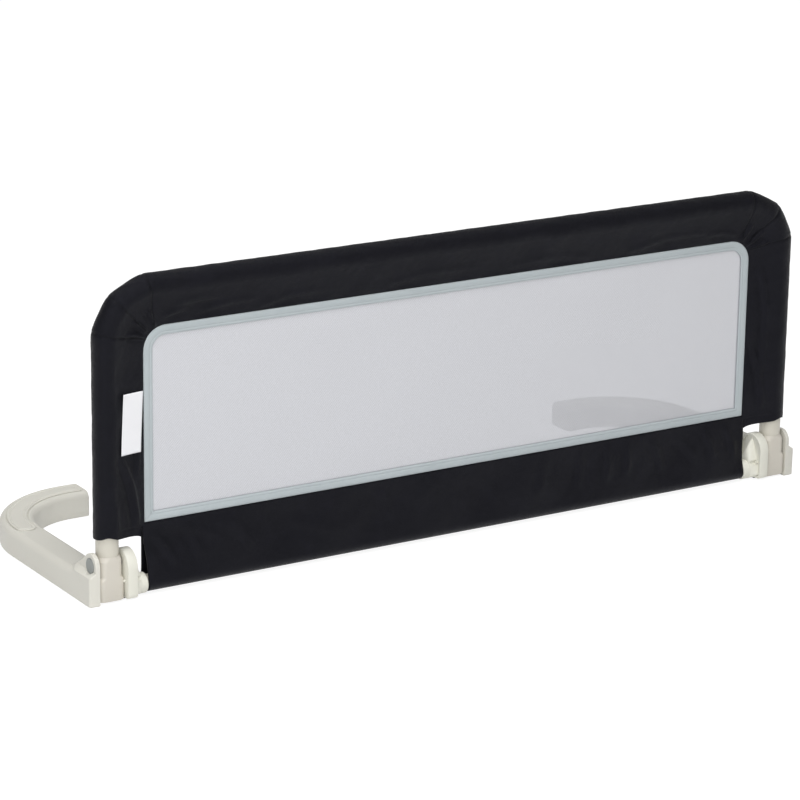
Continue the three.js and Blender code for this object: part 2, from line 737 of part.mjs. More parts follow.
// The outline of a band as distances out from the tube and across it. The cloth leaves the tube at a tangent
// and sinks a little before the edge.
function bandOutline(radius, reach, sag) {
  const edge = bandEdge / 2;
  const leave = Math.PI - Math.atan2(edge, reach) - Math.acos(radius / Math.hypot(reach, edge));
  const arc = Array.from({ length: bandArcSteps + 1 }, (_, i) => leave - (2 * leave * i) / bandArcSteps);
  const round = arc.map((angle) => [radius * Math.cos(angle), radius * Math.sin(angle)]);
  const flat = (side) => bandFlatShares.map((share) => [
    radius * Math.cos(leave) * (1 - share) - reach * share,
    side * (radius * Math.sin(leave) * (1 - share) + edge * share - sag * Math.sin(Math.PI * share))]);
  return [[-reach, edge], ...flat(1).reverse(), ...round, ...flat(-1), [-reach, -edge]];
}

// The tube's own circle with a point for each point of the outline.
function boreOutline(radius) {
  const count = bandArcSteps + 1 + 2 * (bandFlatShares.length + 1);
  return Array.from({ length: count }, (_, i) => {
    const angle = Math.PI - ((i + 0.5) / count) * 2 * Math.PI;
    return [radius * Math.cos(angle), radius * Math.sin(angle)];
  });
}

function bandSection(station, radius, bore, reach, sag) {
  const place = ([out, across]) => [station.x + out * station.outX, across, station.z + out * station.outZ];
  return { outer: bandOutline(radius, reach, sag).map(place), inner: boreOutline(bore).map(place) };
}

// The distance from a place on the tube's bend, straight in, to the window's round corner.
function cornerReach(station) {
  const centreX = -windowHalfWidth + windowCorner;
  const centreZ = windowTop - windowCorner;
  const [dx, dz] = [centreX - station.x, centreZ - station.z];
  const along = -(dx * station.outX + dz * station.outZ);
  const aside = dx * station.outZ - dz * station.outX;
  return along - Math.sqrt(windowCorner * windowCorner - aside * aside) - pieceGap;
}

// One top corner of the cover, from the straight side to the straight top, drawn in at its seams.
function coverCorner() {
  const cornerZ = windowTop - windowCorner;
  const cornerX = -windowHalfWidth + windowCorner;
  const leadShares = [0, 0.35, 0.7];
  const rising = leadShares.map((share) =>
    postStation(postX, cornerZ + pieceGap + share * (bendZ - cornerZ), 0));
  const leaving = leadShares.map((share) =>
    postStation(cornerX - pieceGap + share * (bendX - cornerX), topTubeHeight, Math.PI / 2)).reverse();
  return piped([...rising, ...bendStations(), ...leaving].map((station, i) => {
    const step = i - rising.length;
    const seam = step > 0 && step < bendSteps && step % stepsPerGore === 0;
    const pinch = seam ? seamPinch : 0;
    return bandSection(station, coverRadius - pinch, coverBore, cornerReach(station), bandSag + pinch);
  }));
}

function coverSideSleeve() {
  const cornerZ = windowTop - windowCorner;
  const atSkirt = -skirtHalfTop - postX - pieceGap;
  const beside = sideBand - pieceGap;
  const heights = [[sleeveBottom, atSkirt], [windowBottom, atSkirt],
    [windowBottom + pieceGap, beside], [cornerZ - pieceGap, beside]];
  return piped(heights.map(([z, reach]) =>
    bandSection(postStation(postX, z, 0), coverRadius, coverBore, reach, bandSag)));
}

function coverTopSleeve() {
  const half = windowHalfWidth - windowCorner - pieceGap;
  const steps = 4;
  return piped(Array.from({ length: steps + 1 }, (_, i) => {
    const x = half * ((2 * i) / steps - 1);
    const station = postStation(x, topTubeHeight, Math.PI / 2);
    return bandSection(station, coverRadius, coverBore, topBand - pieceGap, bandSag);
  }));
}

// The skirt below the window, wrapped round the lower tube, with soft upright folds between the two.
function skirt() {
  const steps = 24;
  const reach = windowBottom - pieceGap - lowerTubeHeight;
  const bore = lowerTubeRadius + pieceGap;
  const radius = bore + hemThickness;
  return piped(Array.from({ length: steps + 1 }, (_, i) => {
    const share = (2 * i) / steps - 1;
    const fold = skirtFoldDepth * Math.sin((2 * Math.PI * share * skirtHalfTop) / skirtFoldPitch);
    const place = ([out, across]) => {
      const rise = Math.max(0, -out / reach);
      const widening = Math.max(0, (rise - bandFlatShares[0]) / (1 - bandFlatShares[0]));
      const half = hemHalf + (skirtHalfTop - hemHalf) * widening;
      const loose = Math.sin(Math.PI * Math.min(1, rise));
      return [share * half, across + fold * loose, lowerTubeHeight - out];
    };
    return { outer: bandOutline(radius, reach, bandSag).map(place), inner: boreOutline(bore)
      .map(([out, across]) => [share * hemHalf, across, lowerTubeHeight - out]) };
  }));
}

// A rectangle in the window with round upper corners, drawn as X and Z.
function windowShape(inset) {
  const half = windowHalfWidth - inset;
  const [bottom, top] = [windowBottom + inset, windowTop - inset];
  const corner = windowCorner - inset;
  const shape = new THREE.Shape();
  shape.moveTo(-half, bottom);
  shape.lineTo(half, bottom);
  shape.absarc(half - corner, top - corner, corner, 0, Math.PI / 2);
  shape.absarc(corner - half, top - corner, corner, Math.PI / 2, Math.PI);
  return shape;
}

function windowBinding() {
  const shape = windowShape(0);
  shape.holes.push(windowShape(bindingWidth));
  return prismY(shape, bindingThickness);
}

function windowMesh() {
  return prismY(windowShape(bindingWidth + pieceGap), meshThickness);
}

// A bare label, laid on the front of the left sleeve beside the window.
function labelTab() {
  const reach = sideBand - pieceGap;
  const edge = bandEdge / 2;
  const leave = Math.PI - Math.atan2(edge, reach) - Math.acos(coverRadius / Math.hypot(reach, edge));
  const rise = coverRadius * Math.sin(leave) - edge;
  const run = reach + coverRadius * Math.cos(leave);
  const slope = Math.atan2(rise, run);
  const distance = edge + rise * (labelFromWindow / run) + (pieceGap + labelThickness / 2) / Math.cos(slope);
  const label = new THREE.BoxGeometry(labelWidth, labelThickness, labelHeight).rotateY(labelTilt);
  return label.rotateZ(slope).translate(-windowHalfWidth - labelFromWindow, -distance, labelMiddle);
}

// The whole rail

function named(name, geometry, madeOf) {
  const mesh = new THREE.Mesh(geometry, madeOf());
  mesh.name = name;
  return mesh;
}

// One mesh for each copy of a repeated piece, numbered from 1.
function numbered(name, geometries, madeOf) {
  return geometries.map((geometry, i) => named(`${name}_${i + 1}`, geometry, madeOf));
}

function sidePieces(side) {
  const group = new THREE.Group();
  group.add(
    named(`${side}_post_tube`, postTube(), materials.tube),
    named(`${side}_tube_snap_button`, snapButton(), materials.steel),
    named(`${side}_post_housing`, postHousing(), materials.plastic),
    named(`${side}_post_rivet`, postRivet(), materials.steel),
    named(`${side}_hub`, hub(), materials.plastic),
    ...numbered(`${side}_hub_screw`, hubScrews(), materials.steel),
    named(`${side}_hub_foot`, hubFoot(), materials.rubber),
    named(`${side}_axle_bolt`, axleBolt(), materials.steel),
    named(`${side}_axle_nut`, axleNut(), materials.steel),
    named(`${side}_lock_gear`, lockGear(), materials.steel),
    named(`${side}_lock_spring`, lockSpring(), materials.steel),
    named(`${side}_release_button`, releaseButton(), materials.button),
    named(`${side}_arm_shell`, armShell(), materials.plastic),
    named(`${side}_arm_base_plate`, armBasePlate(), materials.plastic),
    ...numbered(`${side}_arm_screw`, armScrews(), materials.steel),
    named(`${side}_arm_grip_pad`, armGripPad(), materials.pad),
    named(`${side}_cover_corner`, coverCorner(), materials.cloth),
    named(`${side}_cover_sleeve`, coverSideSleeve(), materials.cloth),
  );
  return group;
}

const rail = new THREE.Group();
const rightSide = sidePieces("right");
rightSide.scale.x = -1;
rail.add(
  sidePieces("left"),
  rightSide,
  named("top_tube", topTube(), materials.tube),
  named("lower_tube", lowerTube(), materials.tube),
  named("cover_top_sleeve", coverTopSleeve(), materials.cloth),
  named("window_mesh", windowMesh(), materials.net),
  named("window_binding", windowBinding(), materials.trim),
  named("skirt", skirt(), materials.cloth),
  named("label_tab", labelTab(), materials.label),
);
// The middle of the footprint stands over the origin.
rail.position.y = (hubHalfWidth - armReach) / 2;

export default rail;
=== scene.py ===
import math

import bmesh
import bpy
import numpy as np
from mathutils import Matrix, Vector

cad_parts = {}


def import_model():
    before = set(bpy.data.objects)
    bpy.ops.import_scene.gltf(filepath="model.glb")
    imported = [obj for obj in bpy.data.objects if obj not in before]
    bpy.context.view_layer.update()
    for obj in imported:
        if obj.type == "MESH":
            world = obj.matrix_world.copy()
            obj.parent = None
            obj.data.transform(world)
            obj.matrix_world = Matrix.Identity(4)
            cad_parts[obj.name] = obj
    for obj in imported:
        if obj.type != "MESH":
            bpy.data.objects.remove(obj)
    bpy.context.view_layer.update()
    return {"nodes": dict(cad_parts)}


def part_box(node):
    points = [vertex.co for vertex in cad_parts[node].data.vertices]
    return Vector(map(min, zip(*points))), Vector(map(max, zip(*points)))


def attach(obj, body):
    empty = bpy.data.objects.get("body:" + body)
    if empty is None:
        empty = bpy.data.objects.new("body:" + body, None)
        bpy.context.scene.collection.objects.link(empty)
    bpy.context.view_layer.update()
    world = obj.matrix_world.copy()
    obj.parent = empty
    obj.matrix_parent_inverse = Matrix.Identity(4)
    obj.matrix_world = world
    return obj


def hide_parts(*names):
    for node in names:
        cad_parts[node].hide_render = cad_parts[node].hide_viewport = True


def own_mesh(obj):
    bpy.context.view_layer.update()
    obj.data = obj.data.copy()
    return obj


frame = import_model()
print("frame loaded")

# Lengths are in millimetres until a mesh is made. The post plane is Y = 0 here, and the left side is at -X.
mm = 0.001
postPlane = -157.5  # Y of the post plane in the frame
tau = 2 * math.pi
quarterTurn = math.pi / 2

# places shared by several pieces
rail = dict(
    postX=-498.7, bendRadius=66.0, topZ=383.0, lowerZ=15.0, pivotZ=48.0, tubeRadius=14.0, swageRadius=12.5,
    tubeSeat=56.6, coverRadius=16.6, hemRadius=11.7, sleeveBottom=81.0, edgeHalf=1.7, clothGap=0.3,
    windowHalf=448.4, windowBottom=92.0, windowTop=334.0, windowCorner=29.0,
)
bendX = rail["postX"] + rail["bendRadius"]
bendZ = rail["topZ"] - rail["bendRadius"]
sides = {"left": 1, "right": -1}
meshing = dict(sharp=35.0, weld=2e-6, thin=1e-6)  # degrees, and metres


# Meshes

def smoothStep(low, high, value):
    # 0 below low, 1 above high, and 3t^2 - 2t^3 between
    share = np.clip((value - low) / (high - low), 0, 1)
    return share * share * (3 - 2 * share)


def bell(distance, width):
    # exp(-(distance / width)^2)
    return np.exp(-(distance / width) ** 2)


def halfChord(radius, distance):
    # sqrt(radius^2 - distance^2), and 0 outside the circle
    return np.sqrt(np.maximum(radius ** 2 - distance ** 2, 0))


def points(*columns):
    # places from their coordinates, each an array or one number
    return np.stack(np.broadcast_arrays(*columns), -1)


def runLength(line):
    # the distance along a line up to each of its points
    return np.append(0, np.cumsum(np.linalg.norm(np.diff(line, axis=0), axis=-1)))


def gridFaces(rows, columns, closeRows, closeColumns):
    # quads between neighbours of a grid of points, and the same quads as grid places that don't wrap round
    i, j = np.arange(rows - (not closeRows))[:, None], np.arange(columns - (not closeColumns))
    corners = [points(i + down, j + over) for down, over in ((0, 0), (0, 1), (1, 1), (1, 0))]
    places = np.stack(corners, -2).reshape(-1, 4, 2)
    return (places[..., 0] % rows) * columns + places[..., 1] % columns, places


def signedVolume(places, faces):
    # sum of a . (b x c) / 6 over the triangles of each face's fan
    total = 0.0
    for k in range(1, faces.shape[1] - 1):
        a, b, c = places[faces[:, 0]], places[faces[:, k]], places[faces[:, k + 1]]
        total += float((a * np.cross(b, c)).sum())
    return total / 6


def newPiece(name, places, faceSets, uv=None, side="left", sharp=meshing["sharp"], outward=True):
    # one mesh from places in millimetres; a mirrored or inside-out shape has its faces turned
    place = places * [sides[side], 1, 1] + [0, postPlane, 0]
    turned = outward and sum(signedVolume(place - place.mean(0), f) for f in faceSets) < 0
    order = slice(None, None, -1) if turned else slice(None)
    mesh = bpy.data.meshes.new(name)
    mesh.from_pydata((place * mm).tolist(), [], [face for f in faceSets for face in f[:, order].tolist()])
    if uv is not None:
        mesh.uv_layers.new(name="UVMap").data.foreach_set("uv", uv[:, order].ravel() * mm)
    mesh.validate()
    tidy = bmesh.new()
    tidy.from_mesh(mesh)
    bmesh.ops.remove_doubles(tidy, verts=tidy.verts, dist=meshing["weld"])
    bmesh.ops.dissolve_degenerate(tidy, edges=tidy.edges, dist=meshing["thin"])
    tidy.to_mesh(mesh)
    tidy.free()
    mesh.polygons.foreach_set("use_smooth", np.ones(len(mesh.polygons), bool))
    mesh.set_sharp_from_angle(angle=math.radians(sharp))
    piece = bpy.data.objects.new(name, mesh)
    bpy.context.scene.collection.objects.link(piece)
    return piece


def gridPiece(name, grid, closeRows=False, closeColumns=False, caps=(), uv=None, **options):
    # a surface through a grid; caps closes the first (0) or last (-1) row with a fan round its middle
    rows, columns = grid.shape[:2]
    faces, cells = gridFaces(rows, columns, closeRows, closeColumns)
    places, faceSets = grid.reshape(-1, 3), [faces]
    uv = None if uv is None else uv[cells[..., 0], cells[..., 1]]
    for row in caps:
        ring = np.arange(columns) + (rows - 1) * columns * (row == -1)
        fan = points(ring, np.roll(ring, -1), len(places))
        faceSets.append(fan[:, ::-1] if row == 0 else fan)
        places = np.vstack([places, grid[row].mean(0)])
    return newPiece(name, places, faceSets, uv, **options)


def solidPiece(name, grid, side, **options):
    # a closed body through sections that close on themselves
    return gridPiece(name, grid, closeColumns=True, caps=(0, -1), side=side, **options)


def circle(radius, count):
    # radius * (cos, sin) at even angles
    angle = np.arange(count) / count * tau
    return radius * points(np.cos(angle), np.sin(angle))


def carriedRing(centres, outs, cross, radii, count):
    # a circle round each centre: centre + radius * (cos * outward direction + sin * cross direction)
    ring = circle(1.0, count)[None]
    return centres[:, None] + radii[:, None, None] * (
        ring[..., :1] * outs[:, None] + ring[..., 1:] * np.array(cross))


def turnedX(name, profile, side, y=0.0, z=rail["pivotZ"], count=64):
    # a profile of (x, radius) pairs turned about an axis along X through (y, z)
    profile = np.array(profile, float)
    ring = circle(1.0, count)
    grid = np.empty((len(profile), count, 3))
    grid[..., 0] = profile[:, :1]
    grid[..., 1:] = profile[:, None, 1:] * ring + [y, z]
    return solidPiece(name, grid, side)


def drill(side, start, end, radius, **options):
    # a round cutter along X
    return turnedX("cutter", [(start, radius), (end, radius)], side, **options)


def cutBy(piece, *cutters):
    # takes each cutter's volume out of the piece
    for cutter in cutters:
        change = piece.modifiers.new("cut", "BOOLEAN")
        change.operation, change.solver, change.object = "DIFFERENCE", "EXACT", cutter
        mesh = bpy.data.meshes.new_from_object(piece.evaluated_get(bpy.context.evaluated_depsgraph_get()))
        piece.modifiers.clear()
        piece.data = mesh
        bpy.data.objects.remove(cutter)
        mesh.set_sharp_from_angle(angle=math.radians(meshing["sharp"]))


def bothSides(right, count):
    # a line from the top down its right side, closed by its mirror image, with points at equal distances
    right = np.array(right, float)
    line = np.vstack([right, right[::-1][:-1] * [-1, 1], right[:1]])
    length = runLength(line)
    at = np.linspace(0, length[-1], count + 1)[:count]
    return points(*(np.interp(at, length, column) for column in line.T))


# Materials

class Number:
    # one number of a finish; each operator adds a Math node
    def __init__(self, finish, socket):
        self.finish, self.socket = finish, socket

    def __add__(self, other):
        return self.finish.math("ADD", self, other)

    def __rsub__(self, other):
        return self.finish.math("SUBTRACT", other, self)

    def __mul__(self, other):
        return self.finish.math("MULTIPLY", self, other)


def shade(levels):
    # a colour as a screen shows it, 0 to 255, as the shader needs it
    channel = [level / 255 for level in levels]
    return tuple(c / 12.92 if c <= 0.04045 else ((c + 0.055) / 1.055) ** 2.4 for c in channel) + (1.0,)


class Finish:
    # one material round a Principled shader; its sockets are named with _ for a space
    def __init__(self, name, **plain):
        self.material = bpy.data.materials.new(name)
        self.material.use_nodes = True
        self.tree = self.material.node_tree
        self.tree.nodes.clear()
        self.shader = self.tree.nodes.new("ShaderNodeBsdfPrincipled")
        output = self.tree.nodes.new("ShaderNodeOutputMaterial")
        self.tree.links.new(self.shader.outputs[0], output.inputs["Surface"])
        self.use(**plain)

    def feed(self, socket, value):
        # a link, or a plain value, where three numbers are the levels of a screen's colour
        if isinstance(value, Number):
            self.tree.links.new(value.socket, socket)
        elif isinstance(value, tuple) and len(value) == 3:
            socket.default_value = shade(value)
        else:
            socket.default_value = value

    def use(self, **sockets):
        for name, value in sockets.items():
            self.feed(self.shader.inputs[name.replace("_", " ")], value)

    def node(self, kind, settings=(), sockets=(), output=0):
        # any node: its settings first, then the values or links of its sockets
        node = self.tree.nodes.new(kind)
        for name, value in dict(settings).items():
            setattr(node, name, value)
        for name, value in dict(sockets).items():
            self.feed(node.inputs[name], value)
        return Number(self, node.outputs[output])

    def math(self, operation, first, second=0.0):
        return self.node("ShaderNodeMath", {"operation": operation}, {0: first, 1: second})

    def noise(self, scale, detail, roughness=0.5):
        place = self.node("ShaderNodeTexCoord", output="Object")
        sockets = {"Vector": place, "Scale": scale, "Detail": detail, "Roughness": roughness}
        return self.node("ShaderNodeTexNoise", (), sockets, "Fac")

    def along(self):
        # the piece's own UV map, in metres along and across the cloth
        split = self.node("ShaderNodeUVMap", {"uv_map": "UVMap"})
        return [self.node("ShaderNodeSeparateXYZ", (), {0: split}, axis) for axis in ("X", "Y")]

    def wave(self, number, pitch):
        # 0 to 1 and back over each pitch
        return self.math("SINE", number * (tau / pitch)) * 0.5 + 0.5

    def mix(self, factor, first, second):
        return self.node("ShaderNodeMix", {"data_type": "RGBA"}, {0: factor, 6: first, 7: second}, 2)

    def between(self, low, high, number):
        # 0 below low and 1 above high
        return self.node("ShaderNodeMapRange", {"clamp": True}, {0: number, 1: low, 2: high, 3: 0.0, 4: 1.0})

    def bump(self, height, distance, strength):
        sockets = {"Height": height, "Distance": distance, "Strength": strength}
        self.use(Normal=self.node("ShaderNodeBump", (), sockets, "Normal"))


def mouldedIvory(name, pale, deep, rough=0.44):
    # moulded plastic: a faint cloudiness, a fine spark-eroded grain and softly rubbed patches
    finish = Finish(name, Specular_IOR_Level=0.45)
    cloud = finish.noise(9, 3)
    grain = finish.noise(1500, 1)
    rubbed = finish.between(0.52, 0.7, finish.noise(28, 4, 0.6))
    finish.use(Base_Color=finish.mix(cloud * 0.7 + grain * 0.3, deep, pale),
               Roughness=rubbed * -0.07 + grain * 0.1 + (rough - 0.03))
    finish.bump(grain * 0.6 + finish.noise(420, 2) * 0.4, 0.00012, 0.5)
    return finish.material


def grained(name, deep, pale, mottle, grain, rough, relief, depth, strength, **plain):
    # a colour mixed by the mottle noise, a roughness of low + gain * grain, and a bump from the relief noise
    finish = Finish(name, **plain)
    low, gain = rough
    finish.use(Base_Color=finish.mix(finish.noise(*mottle), deep, pale),
               Roughness=finish.noise(*grain) * gain + low)
    finish.bump(finish.noise(*relief), depth, strength)
    return finish


def coatedTube():
    # powder coat over steel: orange peel and a little gloss
    peel = (700, 2, 0.4)
    finish = grained("coatedTube", (206, 202, 189), (213, 209, 197), mottle=(14, 2), grain=peel,
                     rough=(0.34, 0.12), relief=peel, depth=0.0001, strength=0.4, Specular_IOR_Level=0.5,
                     Coat_Roughness=0.25)
    finish.use(Coat_Weight=finish.noise(60, 1) * 0.15)
    return finish.material


def wovenCloth():
    # dark woven polyester: over-and-under threads, uneven dye, a paler bloom where it is rubbed, and painted
    # shade along the corner seams
    finish = Finish("wovenCloth", Specular_IOR_Level=0.17, Specular_Tint=(0.84, 0.86, 1.0, 1.0),
                    Sheen_Weight=0.05, Sheen_Roughness=0.3)
    along, across = finish.along()
    threadPitch = 0.0011
    warp, weft = finish.wave(along, threadPitch), finish.wave(across, threadPitch)
    over = finish.math("GREATER_THAN", warp * weft + (1 - warp) * (1 - weft), 0.5)
    thread = over * warp + (1 - over) * weft
    dye = finish.noise(7, 4, 0.55)
    rubbed = finish.between(0.5, 0.75, finish.noise(38, 5, 0.65))
    base = finish.mix(dye, (4, 4, 8), (9, 8, 14))
    worn = finish.mix(rubbed * 0.3 + thread * 0.1, base, (24, 23, 31))
    seam = finish.node("ShaderNodeAttribute", {"attribute_name": "seam"}, (), "Fac")
    # the seam attribute darkens the cloth along the corner seams: painted shade in their grooves
    finish.use(Base_Color=finish.mix(seam, worn, (3, 3, 5)), Roughness=thread * 0.1 + rubbed * 0.06 + 0.38)
    finish.bump(thread * 0.4 + finish.noise(45, 4, 0.55) * 4, 0.0009, 0.5)
    return finish.material


def bindingTape():
    # grey-green twill tape with slanted ribs
    finish = Finish("bindingTape", Sheen_Weight=0.15, Sheen_Roughness=0.5)
    along, across = finish.along()
    ribPitch = 0.0016
    rib = finish.wave(along + across, ribPitch)
    fuzz = finish.noise(900, 2)
    base = finish.mix(finish.noise(22, 3) * 0.6 + fuzz * 0.4, (173, 182, 185), (193, 200, 203))
    finish.use(Base_Color=finish.mix(rib * 0.3, base, (168, 180, 183)), Roughness=rib * 0.1 + 0.8)
    finish.bump(rib + fuzz * 0.6, 0.0003, 0.6)
    return finish.material


def knittedNet():
    # pale knitted net: round holes in staggered rows, open to what lies behind
    finish = Finish("knittedNet", Specular_IOR_Level=0.2, Roughness=0.8)
    along, across = finish.along()
    pitch = 0.0024
    rowPitch = pitch * 0.8
    one = finish.wave(along, pitch) * finish.wave(across, rowPitch)
    two = finish.wave(along + pitch / 2, pitch) * finish.wave(across + rowPitch / 2, rowPitch)
    hole = finish.between(0.6, 0.72, one + two)
    thread = finish.noise(600, 2)
    finish.use(Base_Color=finish.mix(thread, (189, 190, 195), (201, 202, 208)), Alpha=1 - hole * 0.5)
    finish.bump(one + two + thread * 0.4, 0.0004, 0.4)
    return finish.material


def wovenLabel():
    # white satin label with a fine cross weave
    finish = Finish("wovenLabel", Sheen_Weight=0.1)
    along, across = finish.along()
    warpPitch, weftPitch = 0.0008, 0.0006
    weave = finish.wave(along, warpPitch) * finish.wave(across, weftPitch)
    tone = weave * 0.5 + finish.noise(40, 2) * 0.5
    finish.use(Base_Color=finish.mix(tone, (240, 240, 243), (248, 248, 250)), Roughness=weave * 0.15 + 0.5)
    finish.bump(weave, 0.0001, 0.4)
    return finish.material


ivory = mouldedIvory("mouldedIvory", (222, 220, 211), (213, 211, 201))
hubIvory = mouldedIvory("hubIvory", (232, 231, 220), (224, 223, 211))
housingIvory = mouldedIvory("housingIvory", (214, 209, 199), (205, 200, 188))
padIvory = mouldedIvory("padIvory", (220, 218, 209), (211, 209, 199), 0.55)
tubeCoat, cloth, tape, net, labelCloth = coatedTube(), wovenCloth(), bindingTape(), knittedNet(), wovenLabel()
buttonGrey = grained("greyButton", (134, 138, 136), (150, 153, 150), mottle=(60, 3), grain=(1300, 1),
                     rough=(0.36, 0.12), relief=(1300, 1), depth=0.0001, strength=0.4,
                     Specular_IOR_Level=0.5).material
steel = grained("zincSteel", (176, 178, 180), (205, 206, 206), mottle=(300, 4, 0.6), grain=(300, 4, 0.6),
                rough=(0.28, 0.2), relief=(300, 4, 0.6), depth=0.00005, strength=0.3, Metallic=1.0).material
rubber = grained("footRubber", (34, 34, 37), (50, 50, 54), mottle=(120, 4), grain=(120, 4),
                 rough=(0.65, 0.2), relief=(900, 2), depth=0.0001, strength=0.5,
                 Specular_IOR_Level=0.3).material
print("materials made")


def finished(piece, material, body, slot, *nodes):
    # the piece's material, the body it rides, and the nodes that it stands for; the slot is not used
    piece.data.materials.clear()
    piece.data.materials.append(material)
    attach(piece, body)
    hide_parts(*nodes)


# Frame tubes

tube = dict(sides=40, wall=1.2, jointX=-398.7, jointStep=2.5, swageEnd=-360.7, bendSteps=30, fit=0.3)


def postTube(side):
    # a circle carried up the post, round its bend and out to the swaged end, then back as the tube's bore
    angle = np.linspace(0, quarterTurn, tube["bendSteps"] + 1)
    bend = points(bendX - rail["bendRadius"] * np.cos(angle), 0, bendZ + rail["bendRadius"] * np.sin(angle))
    joint = [(x, 0, rail["topZ"])
             for x in (tube["jointX"], tube["jointX"] + tube["jointStep"], tube["swageEnd"])]
    centres = np.vstack([[rail["postX"], 0, rail["tubeSeat"] + tube["fit"]], bend, joint])
    angles = np.concatenate([[0], angle, np.full(len(joint), quarterTurn)])
    outs = points(-np.cos(angles), 0, np.sin(angles))
    radii = np.full(len(centres), rail["tubeRadius"])
    radii[-2:] = rail["swageRadius"]
    bore = radii - tube["wall"]
    bore[0] = rail["swageRadius"] + tube["fit"]
    grid = carriedRing(np.vstack([centres, centres[::-1]]), np.vstack([outs, outs[::-1]]), (0, 1, 0),
                       np.concatenate([radii, bore[::-1]]), tube["sides"])
    piece = gridPiece(f"{side}_post", grid, closeRows=True, closeColumns=True, side=side)
    finished(piece, tubeCoat, "rail", "tube", f"{side}_post_tube")


# Post housing, with (rise, inset) pairs for its foot's chamfer and (start, end, radius) for its bores

housing = dict(
    half=16.7, front=-15.0, back=18.0, corner=6.0, neckHalf=14.6, neckFront=-15.0, neckCorner=8.0, bottom=3.0,
    shoulder=29.5, neckStart=34.5, bevelStart=53.4, rimTop=59.1, rimMargin=0.15, spigotTop=102.6,
    spigotChamfer=1.0, fit=0.3, thin=0.01, points=144, chamfer=((0, 2.2), (0.25, 1.3), (0.9, 0.5), (2, 0)),
    pocket=(-530.0, -504.5, 8.2), bore=(-511.4, -476.4, 3.4),
)


def roundedRectangle(halfX, halfY, corner, count):
    # the distance from the middle to a rectangle with round corners, in each of count directions:
    # the nearer of its sides, or the corner's circle where the ray passes through that
    angle = np.arange(count) / count * tau
    c, s = np.abs(np.cos(angle)), np.abs(np.sin(angle))
    reach = np.minimum(halfX / np.maximum(c, 1e-9), halfY / np.maximum(s, 1e-9))
    cx, cy = halfX - corner, halfY - corner
    along = c * cx + s * cy
    rounded = along + np.sqrt(np.maximum(corner ** 2 - (cx * cx + cy * cy - along ** 2), 0))
    inCorner = (reach * c > cx) & (reach * s > cy)
    reach = np.where(inCorner, rounded, reach)
    return reach[:, None] * circle(1.0, count)


def postHousing(side):
    # sections stacked up, each a height, two half widths, a corner radius and a middle: chamfered block,
    # narrowing shoulder, neck, a bevel in to the tube's round seat, and the spigot
    h = housing
    block = np.array([h["half"], (h["back"] - h["front"]) / 2, h["corner"], (h["front"] + h["back"]) / 2])
    neck = np.array([h["neckHalf"], (h["neckHalf"] - h["neckFront"]) / 2, h["neckCorner"],
                     (h["neckHalf"] + h["neckFront"]) / 2])
    neckX, neckY, neckCorner, neckMiddle = neck
    rows = [(h["bottom"] + rise, *(block - [inset, inset, 0, 0])) for rise, inset in h["chamfer"]]
    for share in np.linspace(0, 1, 9):
        rows.append((h["shoulder"] + share * (h["neckStart"] - h["shoulder"]),
                     *(block + (neck - block) * smoothStep(0, 1, share))))
    rows += [(h["bevelStart"] - 0.5, *neck), (h["bevelStart"], *(neck + [-0.02, -0.02, 0.1, 0]))]
    seat, spigot = rail["tubeRadius"] + h["fit"], rail["swageRadius"]
    for share in np.linspace(0.1, 1, 6):
        half = neckX + (seat + h["rimMargin"] - neckX) * share
        rows.append((h["bevelStart"] + share * (h["rimTop"] - h["bevelStart"]), half,
                     neckY + (half - neckY) * share, neckCorner + (half - h["thin"] - neckCorner) * share,
                     neckMiddle * (1 - share)))
    for z, radius in [(h["rimTop"], seat), (rail["tubeSeat"], seat), (rail["tubeSeat"], spigot),
                      (h["spigotTop"] - h["spigotChamfer"], spigot),
                      (h["spigotTop"], spigot - h["spigotChamfer"])]:
        rows.append((z, radius, radius, radius - h["thin"], 0.0))
    grid = np.empty((len(rows), h["points"], 3))
    for row, (z, halfX, halfY, corner, y) in enumerate(rows):
        grid[row, :, :2] = roundedRectangle(halfX, halfY, corner, h["points"]) + [rail["postX"], y]
        grid[row, :, 2] = z
    piece = solidPiece(f"{side}_housing", grid, side)
    cutBy(piece, drill(side, *h["pocket"]), drill(side, *h["bore"]))
    finished(piece, housingIvory, "rail", "housing_plastic", f"{side}_post_housing")


# Hub, with (x, inset) pairs for its edges, (x, scale) for the boss's, and (start, end, radius) for its bores

hubShape = dict(
    outerX=-481.6, innerX=-468.2, endX=-449.4, half=22.0, bottom=4.0, top=63.5, corner=6.0, recess=2.4,
    bulge=1.1, boss=13.0, bossLength=9.0, socket=9.8, socketDepth=13.6, points=160,
    backEdge=((0, 1.2), (0.35, 0.4), (1.2, 0)),
    rimEdge=((-1.1, 0), (-0.3, 0.35), (0, 1.1), (0, 2.3), (-0.3, 2.95), (-1, 3.2), (-2.2, 3.35), (-2.4, 3.6)),
    bossEdge=((-1.3, 1), (-0.75, 0.985), (-0.25, 0.955), (0, 0.91)),
    fairing=((0, 57.2), (2, 54.4), (8.8, 37), (16, 18.4), (18.2, 12), (17.6, 9.2), (12.5, 5.6), (6, 4.9)),
    bolt=(-486.6, -472.3, 3.4), nut=(-486.6, -476.3, 6.1), screw=(-470.58, -444.4, 3.0), screwY=12.2,
    screwZ=26.0, footX=-476.6, footRadius=3.1, footTop=8.3, footPoints=40,
)


def archLine(inset):
    # half circle over two straight sides with round lower corners, as Y and Z from the top clockwise
    h = hubShape
    half, bottom, corner = h["half"] - inset, h["bottom"] + inset, max(h["corner"] - inset / 2, 1)
    up = np.linspace(quarterTurn, 0, 40)
    low = np.linspace(0, -quarterTurn, 12)
    arch = points(half * np.cos(up), h["top"] - h["half"] + half * np.sin(up))
    lower = points(half - corner + corner * np.cos(low), bottom + corner + corner * np.sin(low))
    return bothSides(np.vstack([arch, lower]), h["points"])


